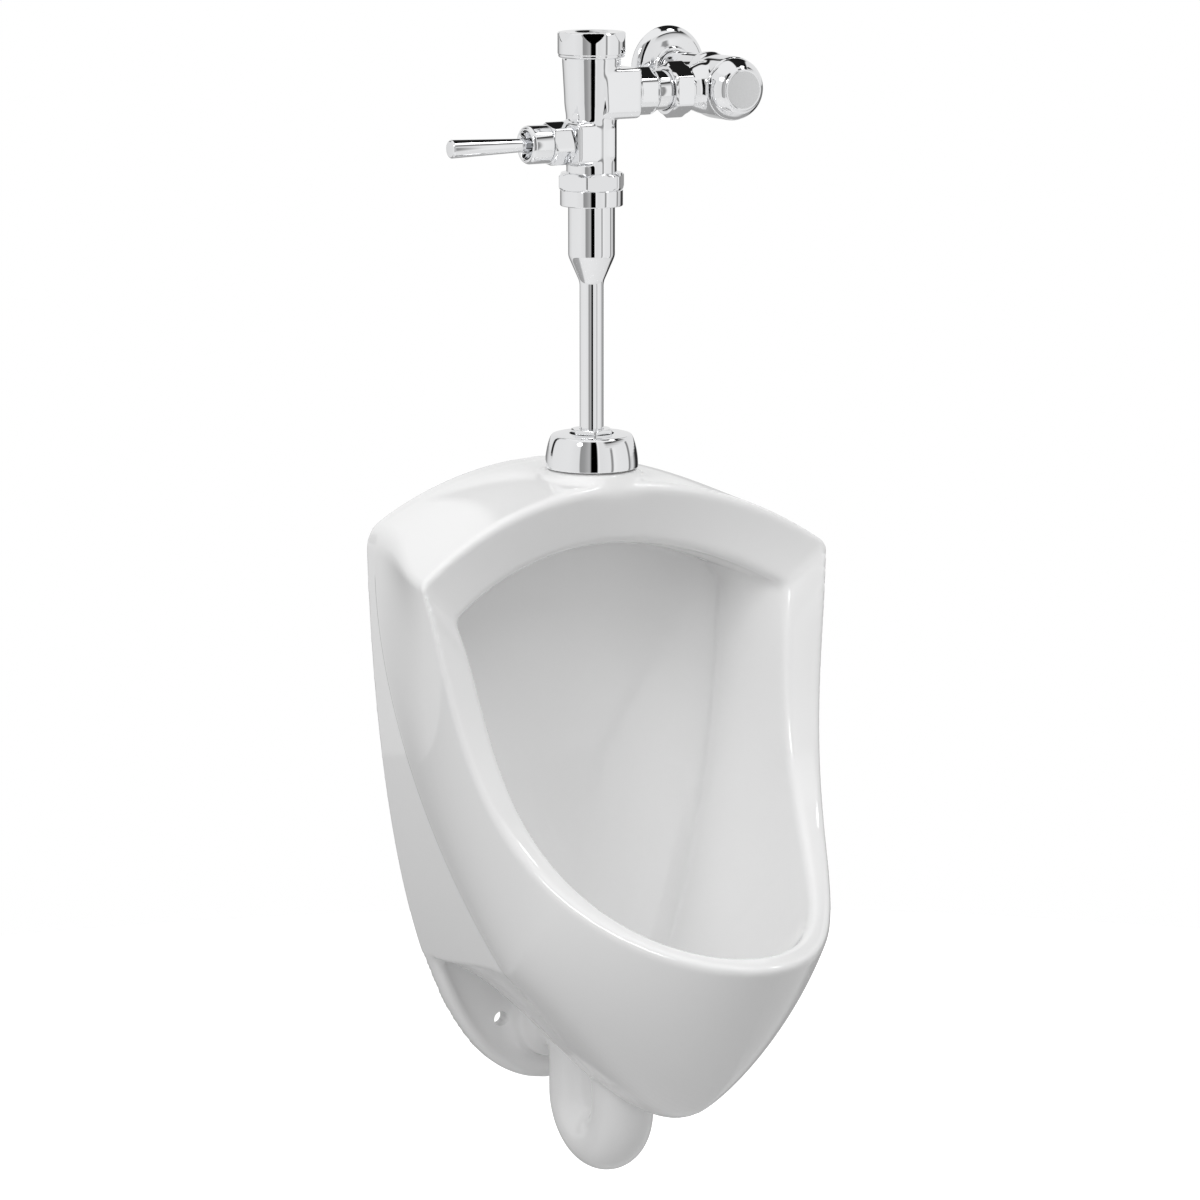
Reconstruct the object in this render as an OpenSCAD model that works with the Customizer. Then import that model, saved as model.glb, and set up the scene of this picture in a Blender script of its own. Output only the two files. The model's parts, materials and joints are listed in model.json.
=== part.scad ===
/* [China body] */
// Width across the front shoulders
china_w = 373; // [350:1:390]
// Width of the back, against the wall
back_w = 320; // [306:1:334]
// Wall to the front of the lip
china_depth = 373; // [355:1:390]
// Waste outlet centre up to the spud seat
seat_z = 470; // [455:1:485]
// Waste outlet centre down to the plate's lower edge
plate_drop = 56; // [52:1:62]
// Radius of the arched top at the wall
back_arch_r = 289; // [270:1:320]
// Radius of the arched top at the front
front_arch_r = 315; // [280:1:340]
// Fall of the arch at the wall below the spud seat
back_fall = 3.5; // [2:0.5:5]
// Fall of the arch at the front edge below the spud seat
front_fall = 9; // [6:0.5:13]
// Depth of the front shoulder corners from the wall
shoulder_f = 146; // [140:1:154]
// Height of the lip's front edge above the outlet
lip_z = 123; // [115:1:131]
// Width of the rim face at the shoulders
rim_w = 35; // [30:1:40]
// Width of the rim face at the lip
lip_w = 22; // [20:1:26]
// Height of the brow over the opening
brow_h = 51; // [46:1:58]
// Depth of the opening's top edge from the wall
brow_f = 112; // [108:1:118]
// Depth of the bowl's back wall from the wall, at its middle
bowl_back_f = 50; // [46:1:54]
// Fired wall of the china
china_t = 12; // [10:0.5:13]
// Depth of the hollow behind the bowl
hollow_f = 30; // [24:1:32]

/* [Trap and outlet] */
// Radius of the trapway's bore
trap_bore_r = 18; // [16:0.5:19]
// Wall of the trap
trap_t = 7.5; // [6:0.5:9]
// Radius of the trap's bend, at its centre line
bend_r = 35; // [33:0.5:38]
// Distance of the bend's middle from the wall
bend_f = 100; // [98:0.5:102]
// Drop of the bend's centre below the outlet
bend_drop = 50; // [46:1:54]
// Radius of the outlet's mouth
outlet_r = 25.5; // [23:0.5:27]
// Radius of the gasket's seat
gasket_r = 33; // [31:0.5:35]
// Depth of the gasket's seat
gasket_t = 8; // [6:0.5:10]
// Distance between the outlet bolts
bolt_span = 90; // [88:1:94]
// Radius of the outlet bolt holes
bolt_r = 6; // [5:0.5:7]
// Thickness of the wall plate
plate_t = 12; // [10:0.5:14]
// Height of the raised edge of the plate, from the wall
edge_f = 18; // [16:1:22]
// Width of the raised edge of the plate
edge_w = 10; // [8:0.5:12]

/* [Spud and escutcheon] */
// Distance of the spud from the wall
spud_f = 85; // [83:0.5:88]
// Radius of the spud's hole in the china
spud_hole_r = 17.5; // [17:0.25:18.5]
// Radius of the flush tube
tube_r = 9.525; // [9:0.025:10]
// Wall of the flush tube
tube_t = 1.2; // [0.8:0.1:1.5]
// Wall of the spud over the flush tube
spud_t = 3.2; // [3:0.1:3.6]
// Base radius of the escutcheon
escutcheon_r = 37.25; // [36:0.25:39]
// Top radius of the escutcheon
escutcheon_top_r = 33.5; // [32:0.25:34.5]
// Height of the escutcheon
escutcheon_h = 26; // [25:0.5:28]
// Sheet thickness of the escutcheon
escutcheon_t = 1.2; // [0.8:0.1:1.5]
// Across the flats of the spud's coupling nut
spud_nut_af = 30; // [29.5:0.25:31]

/* [Vacuum breaker tube] */
// Spud seat up to the foot of the cone
flush_h = 149.5; // [130:0.5:170]
// Height of the cone
cone_h = 20; // [16:0.5:24]
// Radius of the wide tube
breaker_r = 18.6; // [18.2:0.1:19]
// Height of the wide tube below its nut
breaker_h = 39.5; // [36:0.5:46]
// Height of the nut's round collar
collar_h = 13; // [12:0.5:14]
// Radius of the nut's round collar
collar_r = 24.95; // [24.5:0.05:26]
// Height of the nut's hexagon
breaker_nut_h = 13.5; // [12.5:0.5:15]
// Across the flats of the nut's hexagon
breaker_nut_af = 48.5; // [47:0.5:49]

/* [Valve body] */
// Radius of the valve's lower body
lower_r = 20; // [19.8:0.1:20.6]
// Height of the lower body above the nut
lower_h = 42.5; // [41:0.5:45]
// Height of the shoulder
shoulder_h = 11; // [10:0.5:13]
// Radius of the barrel at the shoulder
barrel_r = 21.6; // [21.5:0.1:22.4]
// Radius of the barrel under the cap
barrel_top_r = 23.3; // [23:0.1:23.8]
// Height of the barrel
barrel_h = 37; // [35:0.5:39]
// Radius of the piston's chamber
chamber_r = 19.6; // [19.2:0.1:19.8]
// Radius of the lower chamber
outlet_bore_r = 15; // [14.5:0.1:15.5]
// Radius of the cap
cap_r = 26.75; // [26.5:0.05:27.5]
// Height of the cap
cap_h = 20; // [19:0.5:22]
// Outlet end of the lower body up to the handle's axis
handle_up = 24; // [23:0.5:25]
// Shoulder's top up to the supply's axis
inlet_up = 8.5; // [8.5:0.5:9.5]
// Reach of the inlet arm from the valve's axis
arm_x = 34; // [33:0.5:37]
// Radius of the inlet's bore
inlet_bore_r = 11.5; // [11:0.25:12]

/* [Piston] */
// Lift of the piston
piston_lift = 9; // [7:0.5:9]
// Radius of the relief valve's stem
stem_r = 2.5; // [2.2:0.1:2.8]
// Radius of the sleeve at the foot of the stem
stem_sleeve_r = 4.5; // [4.2:0.1:4.8]

/* [Handle] */
// Across the flats of the handle's nut
handle_nut_af = 30.5; // [30:0.5:32]
// Radius of the handle's socket
socket_r = 15.25; // [15:0.25:15.75]
// Valve's axis to the socket's open end
socket_x = 60; // [59:0.5:62]
// Valve's axis to the tip of the handle
handle_tip_x = 126.8; // [115:0.5:140]
// Radius of the handle at its tip
handle_tip_r = 7.3; // [6.8:0.1:7.8]
// Radius of the handle at its root
handle_root_r = 5.2; // [5:0.1:5.6]
// Radius of the handle's rocking plate
rocker_r = 10.6; // [10.2:0.1:10.8]
// Radius of the plunger
plunger_r = 3; // [2.8:0.1:3.2]

/* [Supply and stop] */
// Radius of the ring at the inlet arm
ring_r = 19; // [18.6:0.1:19.4]
// Length of the ring at the inlet arm
ring_l = 20; // [19:0.5:21]
// Radius of the tailpiece
tail_r = 13.9; // [13.7:0.05:14]
// Valve's axis to the near face of the coupling nut
coupling_x = 66.5; // [66:0.5:68]
// Length of the coupling nut
coupling_l = 18.5; // [17.5:0.5:19.5]
// Across the flats of the coupling nut
coupling_af = 39.6; // [39:0.2:41]
// Radius of the stop's neck
neck_r = 15.75; // [15.5:0.05:16]
// Valve's axis to the stop's axis
stop_x = 120; // [118:0.5:124]
// Radius of the stop's body
stop_r = 25.5; // [25:0.25:26]
// Distance of the stop's open end from the wall
stop_front_f = 105; // [104:0.5:107]
// Distance of the stop's rear end from the wall
stop_rear_f = 59; // [57:0.5:60]
// Radius of the stop cap's face
stop_face_r = 16.5; // [16:0.25:17.5]
// Height of the stop cap
stop_cap_h = 14; // [12:0.5:16]
// Closing travel of the stop's plunger
stop_travel = 5; // [4:0.25:5]
// Rise of the wall supply above the stop's outlet
pipe_rise = 10; // [8:0.5:10]
// Radius of the cover tube
cover_r = 14.3; // [14:0.1:14.6]
// Radius of the wall flange
flange_r = 34; // [31:0.5:36]
// Depth of the wall flange
flange_h = 12; // [11:0.5:14]

/* [Clearances] */
// Radial clearance of a moving fit
run_gap = 0.06; // [0.03:0.01:0.09]
// Clearance between fixed parts that slip together
slip_gap = 0.3; // [0.2:0.05:0.4]

/* [Hidden] */
$fn = 64;
eps = 0.01;

// Steps of the china's surface, round half a ring and along it
arch_n = 9;
corner_n = 5;
side_n = 14;
bottom_n = 9;
under_n = 4;
shell_n = 9;
round_n = 4;
cave_n = 9;
back_n = 5;

// Levels of the valve above the outlet
cone_z = seat_z + flush_h;
breaker_z = cone_z + cone_h;
collar_z = breaker_z + breaker_h;
nut_z = collar_z + collar_h;
body_z = nut_z + breaker_nut_h;
handle_z = body_z + handle_up;
shoulder_z = body_z + lower_h;
barrel_z = shoulder_z + shoulder_h;
inlet_z = barrel_z + inlet_up;
cap_z = barrel_z + barrel_h;

// General curves
function mix(a, b, t) = a + (b - a) * t;
function unit(v) = v / norm(v);
function bezier(p, t) =
    len(p) == 1 ? p[0] : bezier([for (i = [0:len(p) - 2]) mix(p[i], p[i + 1], t)], t);
function at(x, f, z) = [x, -f, z];
function find_t(p, z, lo = 0, hi = 1, n = 20) =
    n == 0 ? (lo + hi) / 2
    : bezier(p, (lo + hi) / 2)[2] > z ? find_t(p, z, (lo + hi) / 2, hi, n - 1)
    : find_t(p, z, lo, (lo + hi) / 2, n - 1);
function arch_z(x, top, r) = top - r + sqrt(r * r - x * x);

// Half a ring of the china, from its top centre round to its bottom centre
function half_ring(top, r, mid_f, side, low, corner_r, corner) =
    let (
        end_x = corner[0] - 0.9 * corner_r,
        arch = function(x) at(x, mix(mid_f, -corner[1], pow(x / corner[0], 2)), arch_z(x, top, r))
    )
    concat(
        [for (i = [0:arch_n]) arch(end_x * i / arch_n)],
        [for (i = [1:corner_n - 1]) bezier([arch(end_x), corner, side(0)], i / corner_n)],
        [for (i = [0:side_n]) side(i / side_n)],
        [for (i = [1:bottom_n]) low(i / bottom_n)]
    );
// Where each point of a half ring lies: 0 top, 1 corner, 2 shelf, 3 bottom
stations = concat(
    [for (i = [0:arch_n]) i / arch_n],
    [for (i = [1:corner_n - 1]) 1],
    [for (i = [0:side_n]) 1 + i / side_n],
    [for (i = [1:bottom_n]) 2 + i / bottom_n]
);
count = len(stations);
function along(keys, s) = s >= 3 ? keys[3] : mix(keys[floor(s)], keys[floor(s) + 1], s - floor(s));
function start_t(p, r) = r / (len(p) - 1) / norm(p[1] - p[0]);

// Outline of the china against the wall
back_top = seat_z - back_fall;
back_corner = at(back_w / 2, 0, arch_z(back_w / 2, back_top, back_arch_r));
wall_side = [
    back_corner,
    at(back_w / 2 - 2, 0, back_corner[2] - 94),
    at(back_w / 2 - 14, 0, -plate_drop),
    at(0, 0, -plate_drop)
];
corner_r = 14;
shelf_z = 62;
wall_t0 = start_t(wall_side, corner_r);
shelf_t = find_t(wall_side, shelf_z);
wall_half = half_ring(back_top, back_arch_r, 0,
    function(t) bezier(wall_side, mix(wall_t0, shelf_t, t)),
    function(t) mix(bezier(wall_side, shelf_t), at(0, 0, shelf_z), t),
    corner_r, back_corner);

// Mould line where the flat rear sides meet the bowl
belly_z = 82;
belly_f = 150;
crease_f0 = 14;
crease_top = back_corner[2] - 40;
function crease(p) =
    let (fall = max(0, (crease_top - p[2]) / (crease_top - belly_z)))
    [p[0], -mix(crease_f0, belly_f, pow(fall, 1.85)), p[2]];
belly_t = find_t(wall_side, belly_z);
belly_p = crease(bezier(wall_side, belly_t));
crease_corner = back_corner + at(0, crease_f0, 0);
crease_half = half_ring(back_top + 1, back_arch_r, 24,
    function(t) crease(bezier(wall_side, mix(wall_t0, belly_t, t))),
    function(t) bezier([belly_p, at(88, belly_f, 50), at(26, belly_f, -40), at(0, belly_f, -40)], t),
    corner_r, crease_corner);

// Outer edge of the rim
front_top = seat_z - front_fall;
front_corner = at(china_w / 2, shoulder_f, arch_z(china_w / 2, front_top, front_arch_r));
rim_pull = 0.3684;
rim_side = [
    front_corner,
    front_corner + at(-20.5, 33, rim_pull * (lip_z - front_corner[2])),
    at(china_w / 2 - 30.5, shoulder_f - 12, lip_z + 23),
    at(china_w / 2 - 81.5, china_depth, lip_z),
    at(0, china_depth, lip_z)
];
rim_t = 0.6;
rim_round = 6;
rim_half = half_ring(front_top, front_arch_r, shoulder_f - 16,
    function(t) bezier(rim_side, mix(start_t(rim_side, rim_round), rim_t, t)),
    function(t) bezier(rim_side, mix(rim_t, 1, t)),
    rim_round, front_corner);

// Edge of the opening
mouth_r = 285;
mouth_top = front_top - brow_h;
mouth_w = china_w / 2 - rim_w;
mouth_corner = at(mouth_w, shoulder_f - 8, arch_z(mouth_w, mouth_top, mouth_r));
mouth_side = [
    mouth_corner,
    mouth_corner + at(-23.5, 37, -91),
    at(mouth_w - 18.5, shoulder_f + 2, lip_z + 37),
    at(mouth_w - 54.5, china_depth - lip_w, lip_z + 6),
    at(0, china_depth - lip_w, lip_z + 6)
];
mouth_round = 7;
mouth_half = half_ring(mouth_top, mouth_r, brow_f,
    function(t) bezier(mouth_side, mix(start_t(mouth_side, mouth_round), rim_t, t)),
    function(t) bezier(mouth_side, mix(rim_t, 1, t)),
    mouth_round, mouth_corner);

// Soft edge between the bowl's sides and its back wall
bowl_top = mouth_top - 6;
bowl_w = mouth_w - 17.5;
bowl_corner = at(bowl_w, bowl_back_f + 12, arch_z(bowl_w, bowl_top, mouth_r));
drain_f = bend_f + bend_r;
sump_f = drain_f - trap_bore_r - 5;
bowl_side = [
    bowl_corner,
    at(bowl_w - 2, bowl_back_f + 12, 180),
    at(50, sump_f, -15),
    at(0, sump_f, -15)
];
bowl_half = half_ring(bowl_top, mouth_r, bowl_back_f + 8,
    function(t) bezier(bowl_side, mix(start_t(bowl_side, 20), rim_t, t)),
    function(t) bezier(bowl_side, mix(rim_t, 1, t)),
    20, bowl_corner);

// Directions in which the surfaces leave these edges: top, corner, shelf, bottom
under_out = [at(0, 8, 0), at(0, 5, 0), at(0, 50, 0), at(0, 30, -70)];
under_in = [at(0, -8, 0), at(0, -5, 0), at(0, -50, 0), at(0, -50, 0)];
shell_out = [at(0, 35, 2), at(3, 45, 0), at(12, 40, 4), at(0, 103, -12)];
shell_in = [at(0, -25, 4), at(-4, -45, 2), at(14, -42, -45), at(0, -76, -124)];
cave_out = [at(0, -18, 0), at(-8, -30, 0), at(-2, -70, -32), at(0, -110, -128)];
cave_in = [at(0, 18, 0), at(3, 25, 0), at(4, 70, -18), at(0, 50, -56)];
outer_round = [12, 4, 8, 9];
inner_round = [10, 8, 7, 8];

// One point of a half ring at each stage of the surface
function shell_end(i) = rim_half[i] + unit(along(shell_in, stations[i])) * along(outer_round, stations[i]);
function band_start(i) =
    rim_half[i] + unit(mouth_half[i] - rim_half[i]) * along(outer_round, stations[i]);
function band_end(i) =
    mouth_half[i] + unit(rim_half[i] - mouth_half[i]) * along(inner_round, stations[i]);
function cave_start(i) =
    mouth_half[i] + unit(along(cave_out, stations[i])) * along(inner_round, stations[i]);
function swept(a, da, db, b, t) = bezier([a, a + da, b + db, b], t);
bowl_mid = at(0, bowl_back_f, 200);
function back_point(p, s) =
    [p[0] * s, -mix(bowl_back_f, -p[1], s * s), mix(bowl_mid[2], p[2], s)];

function half_at(k) = [for (i = [0:count - 1]) let (s = stations[i])
    k < under_n ? swept(wall_half[i], along(under_out, s), along(under_in, s), crease_half[i], k / under_n)
    : k < under_n + shell_n
        ? swept(crease_half[i], along(shell_out, s), along(shell_in, s), shell_end(i), (k - under_n) / shell_n)
    : k < round_k ? bezier([shell_end(i), rim_half[i], band_start(i)], (k - under_n - shell_n) / round_n)
    : k < edge_k ? bezier([band_end(i), mouth_half[i], cave_start(i)], (k - round_k) / round_n)
    : k < cave_k
        ? swept(cave_start(i), along(cave_out, s), along(cave_in, s), bowl_half[i], (k - edge_k) / cave_n)
    : back_point(bowl_half[i], 1 - (k - cave_k) / back_n)];
round_k = under_n + shell_n + round_n + 1;
edge_k = round_k + round_n;
cave_k = edge_k + cave_n;
ring_n = cave_k + back_n;
function band_row(k) = k == round_k - 1 ? [for (i = [0:count - 1]) band_start(i)] : half_at(k);
function whole(h) = concat(h, [for (i = [count - 2:-1:1]) [-h[i][0], h[i][1], h[i][2]]]);

// The china's skin in one closed surface: back, sides, rim and bowl
module china_skin() {
    m = 2 * count - 2;
    rings = [for (k = [0:ring_n - 1]) each whole(band_row(k))];
    quads = [for (k = [0:ring_n - 2], i = [0:m - 1])
        let (j = (i + 1) % m, a = k * m + i, b = k * m + j, c = a + m, d = b + m)
        each i < m / 2 ? [[a, b, d], [a, d, c]] : [[a, b, c], [b, d, c]]];
    last = (ring_n - 1) * m;
    tip = len(rings);
    polyhedron(
        concat(rings, [bowl_mid]),
        concat(
            [[for (i = [m - 1:-1:0]) i]],
            quads,
            [for (i = [0:m - 1]) [last + i, last + (i + 1) % m, tip]]
        )
    );
}

// Points down one side of the wall outline, drawn in by a distance
function side_points(inset, t0, t1, n) = [for (i = [0:n])
    let (
        t = mix(t0, t1, i / n),
        p = bezier(wall_side, t),
        e = unit(bezier(wall_side, min(1, t + 0.001)) - bezier(wall_side, t - 0.001))
    )
    [p[0] + e[2] * inset, p[2] - e[0] * inset]];
module outline(inset, t0, n) {
    side = side_points(inset, t0, 1, n);
    polygon(concat(side, [for (i = [n - 1:-1:0]) [-side[i][0], side[i][1]]]));
}
// Turns a drawing in the wall's plane into a solid between two depths
module from_wall(f0, f1) {
    translate([0, -f0, 0]) rotate([90, 0, 0]) linear_extrude(f1 - f0) children();
}
// Places a turned piece along an axis towards the front, its start at a depth
module facing_front(x, f, z) {
    translate([x, -f, z]) rotate([90, 0, 0]) children();
}
// Places a turned piece along an axis to the right or to the left
module facing_right(x, z) {
    translate([x, -spud_f, z]) rotate([0, 90, 0]) children();
}
module facing_left(x, z) {
    translate([-x, -spud_f, z]) rotate([0, -90, 0]) children();
}
module upright(z) {
    translate([0, -spud_f, z]) children();
}
module tube(r, bore, h) {
    difference() {
        cylinder(r = r, h = h);
        translate([0, 0, -1]) cylinder(r = bore, h = h + 2);
    }
}
module hexagon(af, h) {
    cylinder(r = af / sqrt(3), h = h, $fn = 6);
}
module turned(points) {
    rotate_extrude() polygon(points);
}

// A hexagon nut whose corners are turned off at both ends
module nut(af, h, bevel) {
    intersection() {
        hexagon(af, h);
        turned([
            [0, 0], [af / 2 - 0.4, 0], [af / sqrt(3) + 0.2, bevel],
            [af / sqrt(3) + 0.2, h - bevel], [af / 2 - 0.4, h], [0, h]
        ]);
    }
}

// A round wire wound into an open coil with flat-laid ends
module coil(r, wire_r, h, turns) {
    n = round(turns * 14);
    sides = 8;
    pts = [for (i = [0:n], k = [0:sides - 1])
        let (a = 360 * turns * i / n, b = 360 * k / sides, rr = r + wire_r * cos(b))
        [rr * cos(a), rr * sin(a), wire_r + (h - 2 * wire_r) * i / n + wire_r * sin(b)]];
    faces = [for (i = [0:n - 1], k = [0:sides - 1])
        let (a = i * sides + k, b = i * sides + (k + 1) % sides)
        each [[a, b + sides, b], [a, a + sides, b + sides]]];
    polyhedron(pts, concat(faces,
        [[for (k = [0:sides - 1]) k]],
        [[for (k = [sides - 1:-1:0]) n * sides + k]]));
}

// Trap: a U of two legs and a bend, with the outlet to the wall
trap_r = trap_bore_r + trap_t;
rear_leg_f = bend_f - bend_r;
leg_top = 40;
leg_dish_r = 60;
outlet_l = 17;
web_half = 12;
web_set = 17;
module bend(r) {
    translate([0, -bend_f, -bend_drop]) rotate([0, 90, 0]) rotate([0, 0, -90])
        rotate_extrude(angle = 180) translate([bend_r, 0]) circle(r = r);
}
// Web that closes the gap between the two legs, in two steps
module leg_web() {
    translate([-web_half, web_set - drain_f, 2 - trap_r / 2 - bend_drop])
        cube([2 * web_half, 2 * bend_r - web_set, bend_drop - 4]);
    translate([-web_half, -rear_leg_f - bend_r, -trap_bore_r]) cube([2 * web_half, bend_r, trap_bore_r]);
}
module trap_outside() {
    bend(trap_r);
    leg_web();
    difference() {
        translate([0, -drain_f, -bend_drop]) cylinder(r = trap_r, h = bend_drop - 15);
        translate([0, -drain_f - 25, 31]) sphere(r = leg_dish_r);
    }
    translate([0, -rear_leg_f, -bend_drop]) cylinder(r = trap_r, h = bend_drop + leg_top);
    facing_front(0, 0, 0) cylinder(r = gasket_r + 3, h = 30);
    facing_front(0, 0, 0) cylinder(r = trap_r, h = rear_leg_f);
}
module trap_bore() {
    bend(trap_bore_r);
    translate([0, -drain_f, -bend_drop]) cylinder(r = trap_bore_r, h = bend_drop + 12);
    translate([0, -rear_leg_f, -bend_drop]) cylinder(r = trap_bore_r, h = bend_drop);
    translate([0, -rear_leg_f, 0]) sphere(r = trap_bore_r);
    facing_front(0, gasket_t + outlet_l, 0) cylinder(r = trap_bore_r, h = rear_leg_f - gasket_t - outlet_l);
    facing_front(0, gasket_t - 1, 0) cylinder(r = outlet_r, h = outlet_l + 1);
    facing_front(0, -1, 0) cylinder(r = gasket_r, h = gasket_t + 1);
}

// The plate below the shelf, with its raised edge
plate_inset = 0.5;
plate_n = 14;
module wall_plate() {
    plate_t0 = find_t(wall_side, shelf_z + 2);
    from_wall(0, plate_t) outline(plate_inset, plate_t0, plate_n);
    from_wall(0, edge_f) difference() {
        outline(plate_inset, plate_t0, plate_n);
        outline(edge_w, find_t(wall_side, shelf_z + 30), plate_n);
    }
}

// Hollow behind the bowl, leaving a block for each hanger
hanger_x = 108;
hanger_w = 36;
hanger_below_seat = 98;
hanger_z = seat_z - hanger_below_seat;
hanger_t = 3;
hanger_h = 80;
hanger_drop = 54;
hanger_hole_low = 38;
hanger_hole_high = 18;
hanger_hole_r = 3;
hook_gap = 11;
hook_h = 14;
hook_t = 4;
ledge_h = 8;
module rear_hollow() {
    from_wall(-1, hollow_f) difference() {
        intersection() {
            translate([0, back_top - back_arch_r]) circle(r = back_arch_r - china_t, $fn = 128);
            union() {
                outline(china_t, 0.02, 18);
                translate([-back_w / 2 + china_t + 2, hanger_z - hanger_drop - 6])
                    square([back_w - 2 * china_t - 4, 2 * hanger_h]);
            }
            translate([-back_w, shelf_z + china_t]) square([2 * back_w, seat_z]);
        }
        for (s = [-1, 1])
            translate([s * hanger_x - hanger_w / 2 - ledge_h, hanger_z - hanger_drop - ledge_h - 2])
                square([hanger_w + 2 * ledge_h, hanger_h + 2 * ledge_h + 4]);
    }
}
module hanger_slots() {
    x = hanger_w / 2 + 1;
    for (s = [-1, 1]) translate([s * hanger_x - x, 0, hanger_z]) {
        pocket = 2 * hanger_t + hook_gap + 1;
        low = hanger_drop + 2;
        above = hanger_h - hanger_drop + 2;
        translate([0, -pocket, -low]) cube([2 * x, pocket + 1, low]);
        translate([0, -pocket, ledge_h]) cube([2 * x, pocket + 1, above - ledge_h]);
        translate([0, -hanger_t - 0.5, -low]) cube([2 * x, hanger_t + 1.5, low + above]);
    }
}

// Water chamber under the deck, and the wash holes in its floor
wash_n = 13;
wash_pitch = 18.7;
wash_f = 73;
wash_r = 2.2;
wash_l = 7;
chamber_half = (wash_n - 1) / 2 * wash_pitch + 10;
module wash_slot(h) {
    reach = wash_l / 2 - wash_r;
    translate([-reach, -wash_r, 0]) cube([2 * reach, 2 * wash_r, h]);
    for (s = [-1, 1]) translate([s * reach, 0, 0]) cylinder(r = wash_r, h = h, $fn = 24);
}
module water_chamber() {
    from_wall(spud_f - spud_hole_r - 2, spud_f + spud_hole_r + 2) intersection() {
        difference() {
            translate([0, back_top - back_arch_r]) circle(r = back_arch_r - china_t - 2, $fn = 128);
            translate([0, bowl_top - mouth_r]) circle(r = mouth_r + china_t, $fn = 128);
        }
        translate([-chamber_half, bowl_top - chamber_half]) square(2 * chamber_half);
    }
    for (i = [0:wash_n - 1]) let (x = (i - (wash_n - 1) / 2) * wash_pitch)
        translate([x, -wash_f, arch_z(x, bowl_top, mouth_r) - 4]) wash_slot(china_t + 6);
}

pad_r = escutcheon_r + 1;
module china_body() {
    color("white") difference() {
        union() {
            china_skin();
            wall_plate();
            trap_outside();
            upright(seat_z - 10) cylinder(r = pad_r, h = 10);
        }
        trap_bore();
        rear_hollow();
        hanger_slots();
        water_chamber();
        upright(seat_z - china_t - 8) cylinder(r = spud_hole_r, h = china_t + 9);
        for (s = [-1, 1]) facing_front(s * bolt_span / 2, -1, 0) cylinder(r = bolt_r, h = plate_t + 2);
    }
}

// Hook plates that carry the china at its top corners
module wall_hangers() {
    color("silver") for (s = [-1, 1]) translate([s * hanger_x, 0, 0]) {
        difference() {
            translate([-hanger_w / 2, -hanger_t, hanger_z - hanger_drop]) cube([hanger_w, hanger_t, hanger_h]);
            for (z = [hanger_z - hanger_hole_low, hanger_z + hanger_hole_high])
                facing_front(0, -1, z) cylinder(r = hanger_hole_r, h = hanger_t + 2);
        }
        translate([-hanger_w / 2, -hanger_t - hook_gap, hanger_z - hook_t])
            cube([hanger_w, hook_gap + eps, hook_t]);
        translate([-hanger_w / 2, -2 * hanger_t - hook_gap, hanger_z - hook_h])
            cube([hanger_w, hanger_t, hook_h]);
    }
}

module waste_gasket() {
    color("dimgray") facing_front(0, 0, 0) tube(gasket_r - slip_gap, outlet_r, gasket_t);
}

// Spud: its barrel holds the flush tube, and the rubber seals it in the deck
spud_r = tube_r + slip_gap + spud_t;
spud_top = seat_z + escutcheon_h - 1.5;
spud_flange_z = seat_z - china_t - 4;
spud_foot_z = spud_flange_z - 5;
spud_flange_r = spud_hole_r - 0.5;
spud_gasket_r = 24;
gasket_top = seat_z + 4;
washer_t = 1.5;
locknut_af = 42;
locknut_h = 7;
module inlet_spud() {
    color("goldenrod") upright(0) turned([
        [tube_r + slip_gap, spud_foot_z],
        [spud_flange_r, spud_foot_z],
        [spud_flange_r, spud_flange_z],
        [spud_r, spud_flange_z],
        [spud_r, spud_top],
        [tube_r + slip_gap, spud_top]
    ]);
}
module spud_gasket() {
    color("black") upright(0) turned([
        [spud_r + run_gap, spud_flange_z],
        [spud_hole_r, spud_flange_z],
        [spud_hole_r, seat_z],
        [spud_gasket_r, seat_z],
        [spud_gasket_r - 2, gasket_top],
        [spud_r + run_gap, gasket_top]
    ]);
}
module spud_washer() {
    color("goldenrod") upright(gasket_top) tube(spud_gasket_r - 1, spud_r + run_gap, washer_t);
}
module spud_locknut() {
    color("goldenrod") upright(gasket_top + washer_t) difference() {
        nut(locknut_af, locknut_h, 1);
        translate([0, 0, -1]) cylinder(r = spud_r + run_gap, h = locknut_h + 2);
    }
}
coupling_grip = 12;
coupling_top = spud_top + 6;
module spud_coupling_nut() {
    color("silver") upright(0) difference() {
        translate([0, 0, spud_top - coupling_grip]) rotate(30)
            nut(spud_nut_af, coupling_top - spud_top + coupling_grip, 1);
        translate([0, 0, spud_top - coupling_grip - 1])
            cylinder(r = spud_r + run_gap, h = coupling_grip + 1 + 2 * washer_t);
        translate([0, 0, spud_top]) cylinder(r = tube_r + slip_gap, h = 20);
    }
}
module tube_gasket() {
    color("black") upright(spud_top) tube(spud_r - 0.2, tube_r, washer_t);
}
module friction_ring() {
    color("goldenrod") upright(spud_top + washer_t) tube(spud_r - 0.2, tube_r + 0.05, washer_t);
}
module spud_escutcheon() {
    h = escutcheon_h;
    r = escutcheon_r;
    hole_r = spud_nut_af / sqrt(3) + 0.5;
    t = escutcheon_t;
    outer = [for (i = [0:8])
        bezier([[r, 0], [r + 0.5, 9], [escutcheon_top_r + 1, h - 2], [escutcheon_top_r - 2, h]], i / 8)];
    inner = [for (i = [8:-1:0]) bezier([[r - t, 0], [r + 0.5 - t, 9 - t / 2],
        [escutcheon_top_r + 1 - t, h - 2 - t], [escutcheon_top_r - 2 - t, h - t]], i / 8)];
    color("silver") upright(seat_z) turned(concat(outer, [[hole_r, h + 1], [hole_r, h + 1 - t]], inner));
}

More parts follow.
